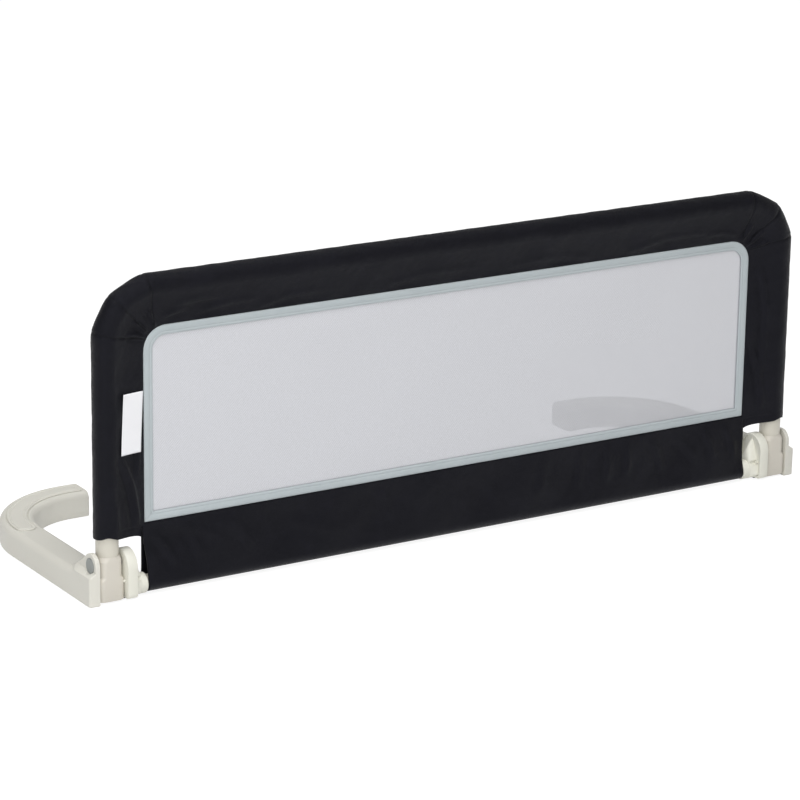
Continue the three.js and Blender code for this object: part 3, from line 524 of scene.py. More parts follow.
def hub(side):
    # loops carried from the back face over the rim, down to the recess, out along the fairing to the boss and
    # into the socket; the fairing bulges by bulge * t * (1 - t)
    h = hubShape
    loops = [(h["outerX"] + x, archLine(inset)) for x, inset in h["backEdge"]]
    loops += [(h["innerX"] + x, archLine(inset)) for x, inset in h["rimEdge"]]
    foot = bothSides(h["fairing"], h["points"])
    boss = circle(h["boss"], h["points"])[:, ::-1]
    axis = np.array([0, rail["lowerZ"]])
    floor, start = h["innerX"] - h["recess"], h["endX"] - h["bossLength"]
    for share in np.concatenate([[0, 0.02], np.linspace(0.06, 1, 22)]):
        bulged = share + h["bulge"] * share * (1 - share)
        loops.append((floor + bulged * (start - floor), foot * (1 - share) + (boss + axis) * share))
    socket = h["socket"] / h["boss"]
    loops += [(h["endX"] + x, boss * scale + axis)
              for x, scale in (*h["bossEdge"], (0, socket), (-h["socketDepth"], socket))]
    grid = np.stack([points(x, *loop.T) for x, loop in loops])
    piece = solidPiece(f"{side}_hub_shell", grid, side)
    footHole = np.empty((2, h["footPoints"], 3))
    footHole[..., :2] = circle(h["footRadius"], h["footPoints"]) + [h["footX"], 0]
    footHole[..., 2] = [[0.0], [h["footTop"]]]
    cutBy(piece, drill(side, *h["bolt"]), drill(side, *h["nut"], count=48),
          drill(side, *h["screw"], y=-h["screwY"], z=h["screwZ"], count=40),
          drill(side, *h["screw"], y=h["screwY"], z=h["screwZ"], count=40),
          solidPiece("cutter", footHole, side))
    finished(piece, hubIvory, "rail", "hub_plastic", f"{side}_hub")


# Arm

arm = dict(
    outerX=-530.0, width=44.0, height=34.0, reach=337.0, turnRadius=110.0, hook=24.0, shoulder=9.0, foot=1.5,
    wallHeights=(9.0, 17.0), wall=2.6, tip=4.0, split=56.0, barStart=20.0, hollowStart=66.0, hollowFoot=10.0,
    hollowEdge=6.0, hollowRound=1.8, notch=56.0, notchEnd=-480.0, cheekInner=-515.8, padClearance=0.4,
    grooveDepth=1.5, grooveWidth=1.3, seatDepth=0.35, barRows=66, turnRows=100, hookRows=18, tipRows=8,
    cutOuter=-540.0, cutLap=0.05, cutHeights=(-5.0, 45.0),
)
pad = dict(half=13.0, endGap=6.0, corner=3.0, top=34.5, under=33.0, edgeDrop=0.9, edgeWidth=0.7,
           grooveInset=4.2, grooveDepth=0.9, grooveWidth=1.0, columns=61)
armMiddle = arm["outerX"] + arm["width"] / 2
turnX = armMiddle + arm["turnRadius"]
turnY = arm["reach"] - arm["width"] / 2 - arm["turnRadius"]
turnLength = arm["turnRadius"] * quarterTurn
armEnd = turnY + turnLength + arm["hook"]


def armPlace(length):
    # the arm's middle line at a length from the post plane, and the direction to its outer side
    angle = np.clip((length - turnY) / arm["turnRadius"], 0, quarterTurn)
    past = np.maximum(length - turnY - turnLength, 0)
    centre = points(turnX - arm["turnRadius"] * np.cos(angle) + past,
                    np.minimum(length, turnY) + arm["turnRadius"] * np.sin(angle), 0)
    return centre, points(-np.cos(angle), np.sin(angle), 0)


def placedOnArm(grid):
    # a grid of (length along the arm, distance to its outer side, height) as places
    centre, out = armPlace(grid[..., 0])
    return centre + out * grid[..., 1, None] + grid[..., 2, None] * [0, 0, 1]


def armLine(inset):
    # half the arm's section from the foot of its outer side to the middle of its top: side and height
    half, top, radius = arm["width"] / 2 - inset, arm["height"] - inset, arm["shoulder"]
    foot = arm["foot"]
    wall = [(half - foot, 0), (half - foot * 0.35, foot * 0.3), (half, foot * 1.2),
            *((half, z) for z in arm["wallHeights"]), (half, top - radius)]
    turn = np.linspace(0, quarterTurn, 13)[1:]
    crown = points(half - radius + radius * np.cos(turn), top - radius + radius * np.sin(turn))
    flat = points(np.linspace(half - radius, 0, 20)[1:], top)
    return np.vstack([wall, crown, flat])


def armHollowLine(inset):
    # the hollow's half section, from its foot to the middle of its ceiling
    half, top = arm["width"] / 2 - arm["wall"] - inset, arm["height"] - arm["wall"] - inset
    edge, corner = arm["hollowEdge"], arm["hollowRound"]
    return np.array([(half, 0), (half, arm["hollowFoot"]), (half, top - edge), (half - corner, top - corner),
                     (half - edge, top), (0, top)])


def mirroredLine(line):
    # half a section and its mirror image
    return np.vstack([line, (line * [-1, 1])[::-1][1:]])


def padDistance(length, across, clearance=0.0):
    # how far a place on the arm's top lies outside the grip pad's outline, negative inside it
    half = pad["half"] + clearance
    roundStart = np.hypot(np.minimum(length - turnY, 0), across) - half
    square = np.maximum(np.abs(across) - half, length - (armEnd - pad["endGap"] + clearance))
    return np.where(length < turnY, roundStart, square)


def armBar(side):
    # the arm's section carried along its middle line, hollow below, with a groove round the grip pad:
    # depth * exp(-(distance / width)^2), and a shallow seat inside it
    tip = arm["tip"]
    quarter = np.linspace(0, quarterTurn, arm["tipRows"])[1:]
    lengths = np.concatenate([
        [arm["barStart"], arm["hollowStart"]], np.linspace(arm["hollowStart"], turnY, arm["barRows"]),
        turnY + np.linspace(0, turnLength, arm["turnRows"])[1:],
        np.linspace(turnY + turnLength, armEnd - tip, arm["hookRows"])[1:],
        [armEnd - tip], armEnd - tip + tip * np.sin(quarter)])
    insets = np.concatenate([np.zeros(len(lengths) - len(quarter)), tip * (1 - np.cos(quarter))])
    grid = []
    for row, (length, inset) in enumerate(zip(lengths, insets)):
        outer = mirroredLine(armLine(inset))
        hollow = 2 <= row < len(lengths) - len(quarter) - 1
        ceiling = mirroredLine(armHollowLine(inset if hollow else 0.0))[::-1]
        if not hollow:
            # where the bar is solid, the hollow's points lie flat on its foot
            ceiling = ceiling * [(outer[0, 0] - 1) / ceiling[:, 0].max(), 0]
        grid.append(points(length, *np.vstack([outer, ceiling]).T))
    grid = np.array(grid)
    length, across, height = grid[..., 0], grid[..., 1], grid[..., 2]
    topFace = smoothStep(arm["height"] - 3.0, arm["height"] - 0.2, height) * (length < armEnd - 1)
    edge = padDistance(length, across, arm["padClearance"])
    groove = arm["grooveDepth"] * bell(edge, arm["grooveWidth"]) + arm["seatDepth"] * (edge < 0)
    grid[..., 2] = height - topFace * groove
    piece = solidPiece(f"{side}_arm_bar", placedOnArm(grid), side)
    notch = drill(side, arm["cheekInner"], arm["notchEnd"], arm["notch"], count=160)
    outside, inside = arm["cutOuter"], arm["cheekInner"] - arm["cutLap"]
    corners = [(outside, 0), (inside, 0), (inside, arm["split"]), (outside, arm["split"])]
    front = np.array([[(x, y, z) for x, y in corners] for z in arm["cutHeights"]])
    cutBy(piece, notch, solidPiece("cutter", front, side))
    finished(piece, ivory, f"{side}_arm", "arm_plastic", f"{side}_arm_shell")


head = dict(
    outerX=-521.4, radius=15.3, front=-15.0, frontLean=0.006, meetAngle=36.0, slopeY=46.0, slopeZ=34.0,
    splitZ=35.2, bevelZ=36.5, bevelHeight=5.5, barLap=1.6, barFrom=22.0, barTo=52.0, pitY=10.0, pitZ=27.0,
    pitDepth=0.9, pitWidth=1.1, foot=1.5, edge=1.1, corner=3.2, cornerLoss=2.1, lossFrom=36.5, lossTo=42.0,
    columns=72, seat=(-540.0, -517.6, 10.1), bore=(-522.0, -508.0, 7.2), low=(0, 0.25, 0.7, 1.5),
    levels=((2.5, 28, 18), (28.6, 43, 66), (43.4, 62.2, 50)), belowTop=(0.8, 0.5, 0.25, 0.08, 0.01),
)


def headRear(z):
    # where the head ends at the back: the arm's split, then the slope up to the pivot's round head
    meet = math.radians(head["meetAngle"])
    rise, run = rail["pivotZ"] + head["radius"] * math.sin(meet), head["radius"] * math.cos(meet)
    low = head["slopeZ"]
    slope = head["slopeY"] + (run - head["slopeY"]) * np.clip((z - low) / (rise - low), 0, 1)
    rear = np.where(z > rise, halfChord(head["radius"], z - rail["pivotZ"]), slope)
    joined = rear + (arm["split"] - rear) * smoothStep(head["splitZ"], low, z)
    return np.where(z < head["splitZ"], joined, rear)


def headOuter(y, z):
    # the outer face: full width below, a straight slope in to the pivot's flat head, the bar's shoulder
    # behind, and a small bell-shaped pit
    slope = np.clip((z - head["bevelZ"]) / head["bevelHeight"], 0, 1)
    flat = arm["outerX"] + (head["outerX"] - arm["outerX"]) * slope
    rise = np.clip(z - (arm["height"] - arm["shoulder"]), 0, arm["shoulder"])
    bar = arm["outerX"] + arm["shoulder"] - halfChord(arm["shoulder"], rise)
    bar = np.minimum(bar, arm["cheekInner"] - head["barLap"])
    pit = head["pitDepth"] * bell(np.hypot(y - head["pitY"], z - head["pitZ"]), head["pitWidth"])
    return flat + (bar - flat) * smoothStep(head["barFrom"], head["barTo"], y) + pit


def roundedEdge(radius, past):
    # how far a round edge of this radius falls back at a place that lies past its start
    return radius - halfChord(radius, max(past, 0))


def armHead(side):
    # level sections stacked up: the outer face from back to front, a round front corner, the flat inner face
    crown = rail["pivotZ"] + head["radius"]
    heights = np.concatenate([head["low"], *(np.linspace(*level) for level in head["levels"]),
                              crown - np.array(head["belowTop"])])
    inner = arm["cheekInner"]
    rows = []
    for z in heights:
        foot = roundedEdge(head["foot"], head["foot"] - z)
        above = z - rail["pivotZ"]
        front = head["front"] - head["frontLean"] * z
        if above > 0:
            front = -halfChord(head["radius"], above)
        rear = float(headRear(z))
        y = np.linspace(rear, front, head["columns"])
        x = headOuter(y, z) + foot + roundedEdge(head["edge"], head["edge"] - (crown - z))
        loss = head["cornerLoss"] * smoothStep(head["lossFrom"], head["lossTo"], z)
        corner = min(head["corner"] - loss, inner - x[-1] - 0.3, (rear - front) / 2.2)
        inFront = np.clip((front + foot + corner - y) / corner, 0, 1)
        y = np.where(inFront > 0, np.maximum(y, front + foot), y)
        x = x + corner * (1 - np.sqrt(1 - inFront ** 2))
        back = [(inner, front + foot), (inner, (front + rear) / 2), (inner, rear)]
        rows.append(points(*np.vstack([points(x, y), back]).T, z))
    piece = solidPiece(f"{side}_arm_head", np.array(rows), side)
    cutBy(piece, drill(side, *head["seat"]), drill(side, *head["bore"]))
    finished(piece, ivory, f"{side}_arm", "arm_plastic", f"{side}_arm_shell")


def gripPad(side):
    # rows across the pad from its round start to its square end, with a drop to its edge and a groove inside:
    # drop * exp(-distance / width) and a bell of the distance less the inset
    half, end = pad["half"], armEnd - pad["endGap"]
    share = np.linspace(-1, 1, pad["columns"])
    grid = []
    for length in np.concatenate([turnY - half * np.cos(np.linspace(0, quarterTurn, 24)),
                                  np.linspace(turnY, end, 150)[1:]]):
        reach = halfChord(half, max(turnY - length, 0))
        reach -= roundedEdge(pad["corner"], length - end + pad["corner"])
        across = reach * np.sin(share * quarterTurn) if reach < 1 else reach * share
        edge = -padDistance(length, across)
        top = (pad["top"] - pad["edgeDrop"] * np.exp(-np.maximum(edge, 0) / pad["edgeWidth"])
               - pad["grooveDepth"] * bell(edge - pad["grooveInset"], pad["grooveWidth"]))
        grid.append(np.vstack([points(length, across, top), points(length, across[::-1], pad["under"])]))
    piece = solidPiece(f"{side}_grip", placedOnArm(np.array(grid)), side, sharp=30)
    finished(piece, padIvory, f"{side}_arm", "grip_pad", f"{side}_arm_grip_pad")


# a cap with a rounded edge and a shallow thumb hollow, on three legs worked as one sleeve: (x, radius) pairs
button = dict(profile=(
    (-522.45, 0.001), (-522.4, 3), (-522.4, 5.5), (-522.6, 7.6), (-522.65, 8.6), (-522.4, 9.4),
    (-521.9, 9.75), (-521.3, 9.8), (-521.3, 6.9), (-515.45, 6.9), (-515.45, 5.4), (-521, 5.4), (-521, 0.001),
))


def releaseButton(side):
    # the profile turned about the pivot
    piece = turnedX(f"{side}_button_cap", button["profile"], side)
    finished(piece, buttonGrey, f"{side}_button", "button", f"{side}_release_button")


spring = dict(wire=0.7, turns=2.5, steps=40, sides=12, seatX=-504.5, keep=0.68)


def lockSpring(side):
    # a coil in the box of the node that it stands for: x grows evenly with the angle
    low, high = (np.array(corner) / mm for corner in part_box("left_lock_spring"))
    wire = spring["wire"]
    angle = np.linspace(0, spring["turns"] * tau, int(spring["turns"] * spring["steps"]) + 1)
    out = points(0, np.cos(angle), np.sin(angle))
    centres = out * ((high[2] - low[2]) / 2 - wire) + [0, 0, rail["pivotZ"]]
    centres[:, 0] = low[0] + wire + (high[0] - low[0] - 2 * wire) * angle / angle[-1]
    grid = carriedRing(centres, out, (1.0, 0, 0), np.full(len(angle), wire), spring["sides"])
    piece = solidPiece(f"{side}_spring_coil", grid, side)
    finished(piece, steel, "rail", "steel", f"{side}_lock_spring")
    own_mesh(piece)


for side in sides:
    for build in (lockSpring, postTube, postHousing, hub, armBar, armHead, gripPad, releaseButton):
        build(side)
print("tubes, brackets and arms made")


# Cloth cover

cover = dict(
    thickness=1.5, arcSteps=44, flatSteps=26, topSteps=260, sag=1.6, sideReach=50.0, topReach=48.7,
    skirtReach=46.0, seams=(13.0, 45.0, 80.0), seamReach=(84.8, 85.5, 83.9), seamWidth=1.1, seamSpread=1.4,
    seamDepth=0.9,
    straightShare=0.65, foldGain=2.3, backGain=0.8, rippleHeight=0.9, rippleLength=60, fineHeight=0.2,
    fineLength=24, flatFrom=(0.25, 0.55), flatTo=(1.0, 0.93), edgeFade=(1.0, 0.9), hemRaise=3.4,
    ridgePlace=0.3, ridgeWidth=0.12, hemHang=4.8, hemStart=0.42, hemFillet=2.4, hemHeight=40.0, hemSeam=0.25,
    seamRise=(9.0, 7.6),
)
foldShape = dict(bow=0.05, fadeIn=(-0.08, 0.2), fadeOut=(1.08, 0.8), hollow=0.45, hollowPlace=1.7)


def coverPath():
    # up the left post, round the corner, along the top and down again: centre and angle of the bend
    up = np.concatenate([np.linspace(rail["sleeveBottom"], rail["windowBottom"] + 2, 14),
                         np.linspace(rail["windowBottom"] + 4, bendZ, 96)])
    angle = np.radians(np.linspace(0, 90, 91)[1:-1])
    along = np.linspace(bendX, -bendX, cover["topSteps"])
    post, top = np.ones(len(up)), np.ones(len(along))
    bentX, bentZ = bendX - rail["bendRadius"] * np.cos(angle), bendZ + rail["bendRadius"] * np.sin(angle)
    x = np.concatenate([post * rail["postX"], bentX, along, -bentX[::-1], post * -rail["postX"]])
    z = np.concatenate([up, bentZ, top * rail["topZ"], bentZ[::-1], up[::-1]])
    turn = np.concatenate([post * 0, angle, top * quarterTurn, math.pi - angle[::-1], post * math.pi])
    return x, z, turn


def windowReach(x, z, turn):
    # the distance from the tube's middle straight in to the window's edge, round the window's corners too
    left = np.where(x < 0, 1, -1)
    angle = np.where(x < 0, turn, math.pi - turn)
    outX, outZ = -np.cos(angle), np.sin(angle)
    cornerX, cornerZ = rail["windowCorner"] - rail["windowHalf"], rail["windowTop"] - rail["windowCorner"]
    dx, dz = cornerX - x * left, cornerZ - z
    along = -(dx * outX + dz * outZ)
    aside = dx * outZ - dz * outX
    corner = along - halfChord(rail["windowCorner"], aside)
    # only places that face the corner's circle reach to it; the others reach to the straight edge
    bending = (angle > 0) & (angle < quarterTurn)
    facing = ((angle <= 0) & (dz < 0)) | ((angle >= quarterTurn) & (dx > 0))
    facing &= np.abs(aside) < rail["windowCorner"]
    straight = np.where(angle < quarterTurn / 2, cover["sideReach"], cover["topReach"])
    return np.where(bending | facing, corner, straight) - rail["clothGap"]


def folds(x, z, lines):
    # each fold is a line between two places, with a width, a height and ends that fade:
    # a bell of the distance, less a lower one beside it
    total = 0
    for x0, z0, x1, z1, width, height in lines:
        length = math.hypot(x1 - x0, z1 - z0)
        ux, uz = (x1 - x0) / length, (z1 - z0) / length
        along = ((x - x0) * ux + (z - z0) * uz) / length
        aside = (x - x0) * uz - (z - z0) * ux
        aside = aside + foldShape["bow"] * length * np.sin(math.pi * np.clip(along, 0, 1))
        fade = smoothStep(*foldShape["fadeIn"], along) * smoothStep(*foldShape["fadeOut"], along)
        beside = bell(aside - foldShape["hollowPlace"] * width, width)
        total += height * fade * (bell(aside, width) - foldShape["hollow"] * beside)
    return total


def ripples(x, z, seed, wavelength, count=7):
    # a sum of slow waves in drawn directions, about -1 to 1
    draw = np.random.default_rng(seed)
    total = 0
    for _ in range(count):
        angle, phase, stretch = draw.uniform(0, math.pi), draw.uniform(0, tau), draw.uniform(0.6, 1.7)
        total += np.sin((x * math.cos(angle) + z * math.sin(angle)) * tau / (wavelength * stretch) + phase)
    return total / math.sqrt(count) / 1.4


def leavingAngle(reach, radius):
    # where a flat from the window's edge touches the tube, as an angle from the way out
    edge = rail["edgeHalf"]
    return math.pi - np.arctan2(edge, reach) - np.arccos(radius / np.hypot(reach, edge))


def bandGrid(x, z, turn, radius, outRadius, reach, sag):
    # the cloth's section at each place: from the front window edge, tangent to the tube, round it and back
    edge = rail["edgeHalf"]
    leave = leavingAngle(reach, radius)
    share = np.linspace(0, 1, cover["flatSteps"])[:, None]
    round_ = np.linspace(-1, 1, cover["arcSteps"])[:, None]
    tangentOut, tangentAcross = radius * np.cos(leave), radius * np.sin(leave)
    flatOut = -reach * (1 - share) + tangentOut * share
    flatAcross = edge * (1 - share) + tangentAcross * share - sag * np.sin(math.pi * share)
    arcOut, arcAcross = np.cos(leave * round_), radius * np.sin(leave * round_)
    arcOut = arcOut * np.where(arcOut > 0, outRadius, radius)
    out = np.vstack([flatOut, arcOut[1:-1], flatOut[::-1]])
    across = np.vstack([-flatAcross, arcAcross[1:-1], flatAcross[::-1]])
    return points(x - out * np.cos(turn), across, z + out * np.sin(turn)).transpose(1, 0, 2)


def gridNormals(grid):
    # the cross product of the differences along the rows and the columns
    normal = np.cross(np.gradient(grid, axis=0), np.gradient(grid, axis=1))
    return normal / np.maximum(np.linalg.norm(normal, axis=-1, keepdims=True), 1e-9)


def clothUv(grid):
    # lengths along the rows and columns, so that the weave has its real scale
    return points(runLength(grid[:, grid.shape[1] // 2])[:, None], runLength(grid[len(grid) // 2]))


def thicken(piece, thickness, offset):
    # gives a sheet a wall of this thickness, on the side that the offset says
    wall = piece.modifiers.new("wall", "SOLIDIFY")
    wall.thickness, wall.offset = thickness * mm, offset


# x and z of both ends, width and height
coverFolds = [
    (-485, 181, -459, 90, 4.5, 1.7), (-507, 160, -494, 84, 5.0, 1.0), (-466, 250, -459, 150, 3.5, 0.6),
    (-424, 345, -391, 352, 4.0, 0.9), (-411, 358, -346, 362, 5.0, 0.8), (-376, 344, -296, 352, 4.5, 0.8),
    (-296, 340, -200, 350, 5.0, 0.7), (-120, 342, 20, 349, 5.0, 0.6), (60, 344, 200, 341, 5.0, 0.5),
    (250, 341, 376, 352, 4.5, 0.7), (376, 350, 426, 343, 4.0, 0.8), (466, 300, 473, 150, 4.0, 0.8),
    (458, 190, 476, 96, 4.0, 1.0), (-474, 330, -448, 322, 3.0, 0.9), (-466, 345, -444, 327, 3.0, 1.0),
    (-448, 357, -433, 333, 3.0, 0.9), (466, 345, 444, 327, 3.0, 1.0), (448, 357, 433, 333, 3.0, 0.9),
    (474, 330, 448, 322, 3.0, 0.9),
]


def seamShadeMarks(piece):
    # an attribute for the finish: painted shade along the corner seams, a bell of the distance from the
    # nearest corner seam
    places = np.empty(len(piece.data.vertices) * 3)
    piece.data.vertices.foreach_get("co", places)
    x, z = places[0::3] / mm, places[2::3] / mm
    across, up = np.abs(x) + bendX, z - bendZ
    angle, reach = np.arctan2(up, across), np.hypot(across, up)
    apart = np.abs(angle[:, None] - np.radians(cover["seams"])[None]).min(1) * reach
    paintedSeamShade = bell(apart, cover["seamWidth"]) * (across > 0) * (up > 0)
    piece.data.attributes.new("seam", "FLOAT", "POINT").data.foreach_set("value", paintedSeamShade.astype(np.float32))


def cornerRadius(gore):
    # the outer radius at each angle of the corner: straight from seam to seam, as
    # r1 r2 sin(b - a) / (r1 sin(g - a) + r2 sin(b - g)), with a third of a round line for the padding
    outer = rail["bendRadius"] + rail["coverRadius"]
    seams = np.array((0.0, *cover["seams"], 90.0))
    reaches = np.array((outer, *cover["seamReach"], outer))
    cell = np.clip(np.searchsorted(seams, gore, side="right") - 1, 0, len(seams) - 2)
    low, high, at = np.radians(seams[cell]), np.radians(seams[cell + 1]), np.radians(gore)
    near, far = reaches[cell], reaches[cell + 1]
    chord = near * far * np.sin(high - low) / (near * np.sin(at - low) + far * np.sin(high - at))
    straight = cover["straightShare"]
    mixed = straight * chord + (1 - straight) * np.interp(gore, seams, reaches)
    return np.maximum(mixed, outer - 1.0) - rail["bendRadius"]


def clothCover():
    # the band along the cover's path, moved along its normals by folds, ripples, seams and a hem
    x, z, turn = coverPath()
    beside = np.abs(turn - quarterTurn) > quarterTurn - 1e-6
    reach = np.where(beside & (z < rail["windowBottom"]), cover["skirtReach"], windowReach(x, z, turn))
    gore = np.degrees(np.where(x < 0, turn, math.pi - turn))
    inBend = (gore > 0.01) & (gore < 89.99)
    outRadius = np.where(inBend, cornerRadius(gore), rail["coverRadius"])
    seamApart = np.abs(gore[:, None] - np.array(cover["seams"])).min(1)
    seamNear = bell(seamApart, cover["seamSpread"]) * inBend
    grid = bandGrid(x, z, turn, rail["coverRadius"], outRadius, reach, cover["sag"])
    normal = gridNormals(grid)
    columns = grid.shape[1]
    if normal[0, columns // 2, 0] > 0:
        normal = -normal
    share = np.linspace(-1, 1, columns)
    apart = np.abs(share)
    flat = smoothStep(*cover["flatFrom"], apart) * smoothStep(*cover["flatTo"], apart)
    nearEdge = smoothStep(*cover["edgeFade"], apart)
    across, deep, up = grid[..., 0], grid[..., 1], grid[..., 2]
    creases = np.where((share < 0)[None], folds(across, up, coverFolds),
                       cover["backGain"] * folds(-across, up, coverFolds))
    move = cover["foldGain"] * flat * creases
    move += flat * cover["rippleHeight"] * ripples(across, up, 5, cover["rippleLength"])
    move += cover["fineHeight"] * ripples(across + deep, up + deep, 9, cover["fineLength"]) * nearEdge
    move -= cover["seamDepth"] * seamNear[:, None] * nearEdge
    # the hem rides up over the tube and hangs lower towards the window, where it meets the skirt in a fillet
    above = z - rail["sleeveBottom"]
    hanging = smoothStep(cover["hemHeight"], 0, above) * beside
    towards = np.clip((apart - cover["hemStart"]) / (1 - cover["hemStart"]), 0, 1)
    lowered = cover["hemHang"] * towards + cover["hemFillet"] * towards ** 8
    raised = cover["hemRaise"] * bell(apart - cover["ridgePlace"], cover["ridgeWidth"])
    grid[..., 2] += hanging[:, None] * (raised - lowered)
    hem = smoothStep(*cover["seamRise"], above) * beside
    move += cover["hemSeam"] * hem[:, None]
    grid = grid + normal * move[..., None]
    piece = gridPiece("cover", grid, uv=clothUv(grid), sharp=60)
    # the painted shade along the corner seams, for the cloth finish
    seamShadeMarks(piece)
    thicken(piece, cover["thickness"], -1.0)
    finished(piece, cloth, "rail", "cloth", "cover_top_sleeve", "left_cover_corner", "left_cover_sleeve",
             "right_cover_corner", "right_cover_sleeve")


skirtShape = dict(columns=300, halfTop=452.4, halfHem=448.4, thickness=1.3, sag=1.2, foldDepth=2.4,
                  pitch=148.0, foldGain=2.6, rippleHeight=0.9, rippleLength=70)
skirtFolds = [
    (-440, 80, -408, 30, 6, 0.9), (-425, 88, -350, 60, 7, 0.7), (-395, 82, -372, 34, 6, 0.8),
    (-350, 84, -300, 40, 8, 0.5), (-250, 60, -180, 34, 8, 0.5), (-120, 84, -100, 40, 8, 0.4),
    (20, 80, 60, 36, 8, 0.4), (130, 82, 120, 36, 7, 0.5), (190, 84, 182, 34, 6, 0.7),
    (230, 86, 226, 36, 5, 0.9), (262, 86, 258, 40, 5, 0.8), (300, 84, 318, 36, 6, 0.8),
    (340, 80, 372, 44, 6, 0.8), (385, 84, 400, 40, 5, 0.9), (420, 82, 436, 36, 5, 0.8),
]


def skirt():
    # the band's section round the lower tube, turned to hang from the window, with slow upright folds:
    # depth * sin(tau * x / pitch), fading to the hem and the window
    s = skirtShape
    share = np.linspace(-1, 1, s["columns"])
    reach = np.full(s["columns"], rail["windowBottom"] - rail["clothGap"] - rail["lowerZ"])
    radius = rail["hemRadius"]
    grid = bandGrid(0, 0, -quarterTurn, radius, radius, reach, s["sag"])
    drop = grid[..., 2]
    rise = np.clip(drop / reach[0], 0, 1)
    half = s["halfHem"] + (s["halfTop"] - s["halfHem"]) * smoothStep(0.1, 1.0, rise)
    grid = points(share[:, None] * half, grid[..., 1], rail["lowerZ"] + drop)
    loose = np.sin(math.pi * rise) * (drop > 0)
    grid[..., 1] += s["foldDepth"] * np.sin(share * s["halfTop"] * tau / s["pitch"])[:, None] * loose
    sign = np.where(np.arange(grid.shape[1])[None] < grid.shape[1] / 2, -1.0, 1.0)
    across, up = grid[..., 0], grid[..., 2]
    grid[..., 1] += sign * loose * (s["foldGain"] * folds(across, up, skirtFolds)
                                    + s["rippleHeight"] * ripples(across, up, 3, s["rippleLength"]))
    piece = gridPiece("skirt_cloth", grid, uv=clothUv(grid), sharp=60)
    thicken(piece, s["thickness"], -1.0)
    finished(piece, cloth, "rail", "cloth", "skirt")


# Window, with (inset, y) pairs for the tape's section

window = dict(
    width=11.0, lap=3.0, straight=220, corner=22, upright=60, loopLength=2400.0, tapeThickness=0.7,
    tapeWave=0.06, netWave=0.9, netLength=160, netColumns=180, netRows=50,
    section=((11, 0.85), (10.9, 1.5), (10.3, 1.75), (9.4, 1.95), (8.6, 1.8), (8, 1.55), (7.4, 1.8),
             (6.2, 2.15), (4.2, 2.25), (2, 2.25), (0.8, 2), (0.15, 1.2), (0, 0)),
)


def windowLoop(inset):
    # the window's outline moved in by inset: square corners below, round ones above
    half, low, high = rail["windowHalf"] - inset, rail["windowBottom"] + inset, rail["windowTop"] - inset
    radius = rail["windowCorner"] - inset
    arc = np.linspace(0, quarterTurn, window["corner"])[1:-1]
    right = points(half - radius + radius * np.cos(arc), high - radius + radius * np.sin(arc))
    across = np.linspace(-half, half, window["straight"])
    top = np.linspace(half - radius, radius - half, window["straight"])
    up = np.linspace(low, high - radius, window["upright"])
    return np.vstack([points(across, low), points(half, up[1:]), right, points(top, high),
                      (right * [-1, 1])[::-1], points(-half, up[:0:-1])])


def windowBinding():
    # tape folded over the edge: a flat oval section with a stitched groove near its inner edge
    section = np.array(window["section"])
    section = np.vstack([section, section[::-1][1:] * [1, -1]])
    loops = np.stack([windowLoop(inset) for inset in section[:, 0]])
    wave = 1 + window["tapeWave"] * ripples(loops[..., 0], loops[..., 1], 21, 30)
    grid = points(loops[..., 0], section[:, 1, None] * wave, loops[..., 1])
    uv = points(runLength(section)[:, None], np.append(runLength(loops[0]), window["loopLength"]))
    piece = gridPiece("binding", grid, closeColumns=True, uv=uv, sharp=50, outward=False)
    thicken(piece, window["tapeThickness"], 1.0)
    finished(piece, tape, "rail", "trim", "window_binding")


def windowNet():
    # the net, stretched flat, with slow tension waves that die away at the binding
    inset = window["width"] - window["lap"]
    half, radius = rail["windowHalf"] - inset, rail["windowCorner"] - inset
    low, high = rail["windowBottom"] + inset, rail["windowTop"] - inset
    x, z = np.linspace(-half, half, window["netColumns"])[:, None], np.linspace(low, high, window["netRows"])
    limit = high - radius + halfChord(radius, np.maximum(np.abs(x) - (half - radius), 0))
    z = low + (z - low) * (limit - low) / (high - low)
    inside = np.sin(math.pi * (x + half) / (2 * half)) * np.sin(math.pi * (z - low) / (high - low))
    y = window["netWave"] * np.clip(inside * 3, 0, 1) * ripples(x, z, 12, window["netLength"])
    piece = gridPiece("net", points(x, y, z), uv=points(x, z), sharp=60, outward=False)
    finished(piece, net, "rail", "net", "window_mesh")


# Label

label = dict(width=31.0, height=75.0, middleX=-467.9, middleZ=220.5, tilt=3.2, thickness=0.5, gap=0.7,
             lift=0.5)


def bareLabel():
    # a small rectangle laid on the sleeve beside the window, lifted at its corners by lift * (2u)^4 * (2v)^4
    u, v = np.linspace(-0.5, 0.5, 24)[:, None], np.linspace(-0.5, 0.5, 40)
    tilt = math.radians(label["tilt"])
    x0, z0 = u * label["width"], v * label["height"]
    x = label["middleX"] + x0 * math.cos(tilt) + z0 * math.sin(tilt)
    z = label["middleZ"] - x0 * math.sin(tilt) + z0 * math.cos(tilt)
    reach = cover["sideReach"] - rail["clothGap"]
    edge, radius = rail["edgeHalf"], rail["coverRadius"]
    leave = leavingAngle(reach, radius)
    share = np.clip((reach - (x - rail["postX"])) / (reach + radius * np.cos(leave)), 0, 1.05)
    corner = (4 * np.abs(u * v)) ** 4
    y = -(edge + (radius * np.sin(leave) - edge) * share) - label["gap"] - label["lift"] * corner
    piece = gridPiece("side_label", points(x, y, z), uv=points(x0, z0), sharp=60, outward=False)
    thicken(piece, label["thickness"], 0.0)
    finished(piece, labelCloth, "rail", "label", "label_tab")


for build in (clothCover, skirt, windowBinding, windowNet, bareLabel):
    build()
print("cover, skirt and window made")

# Carried-over nodes

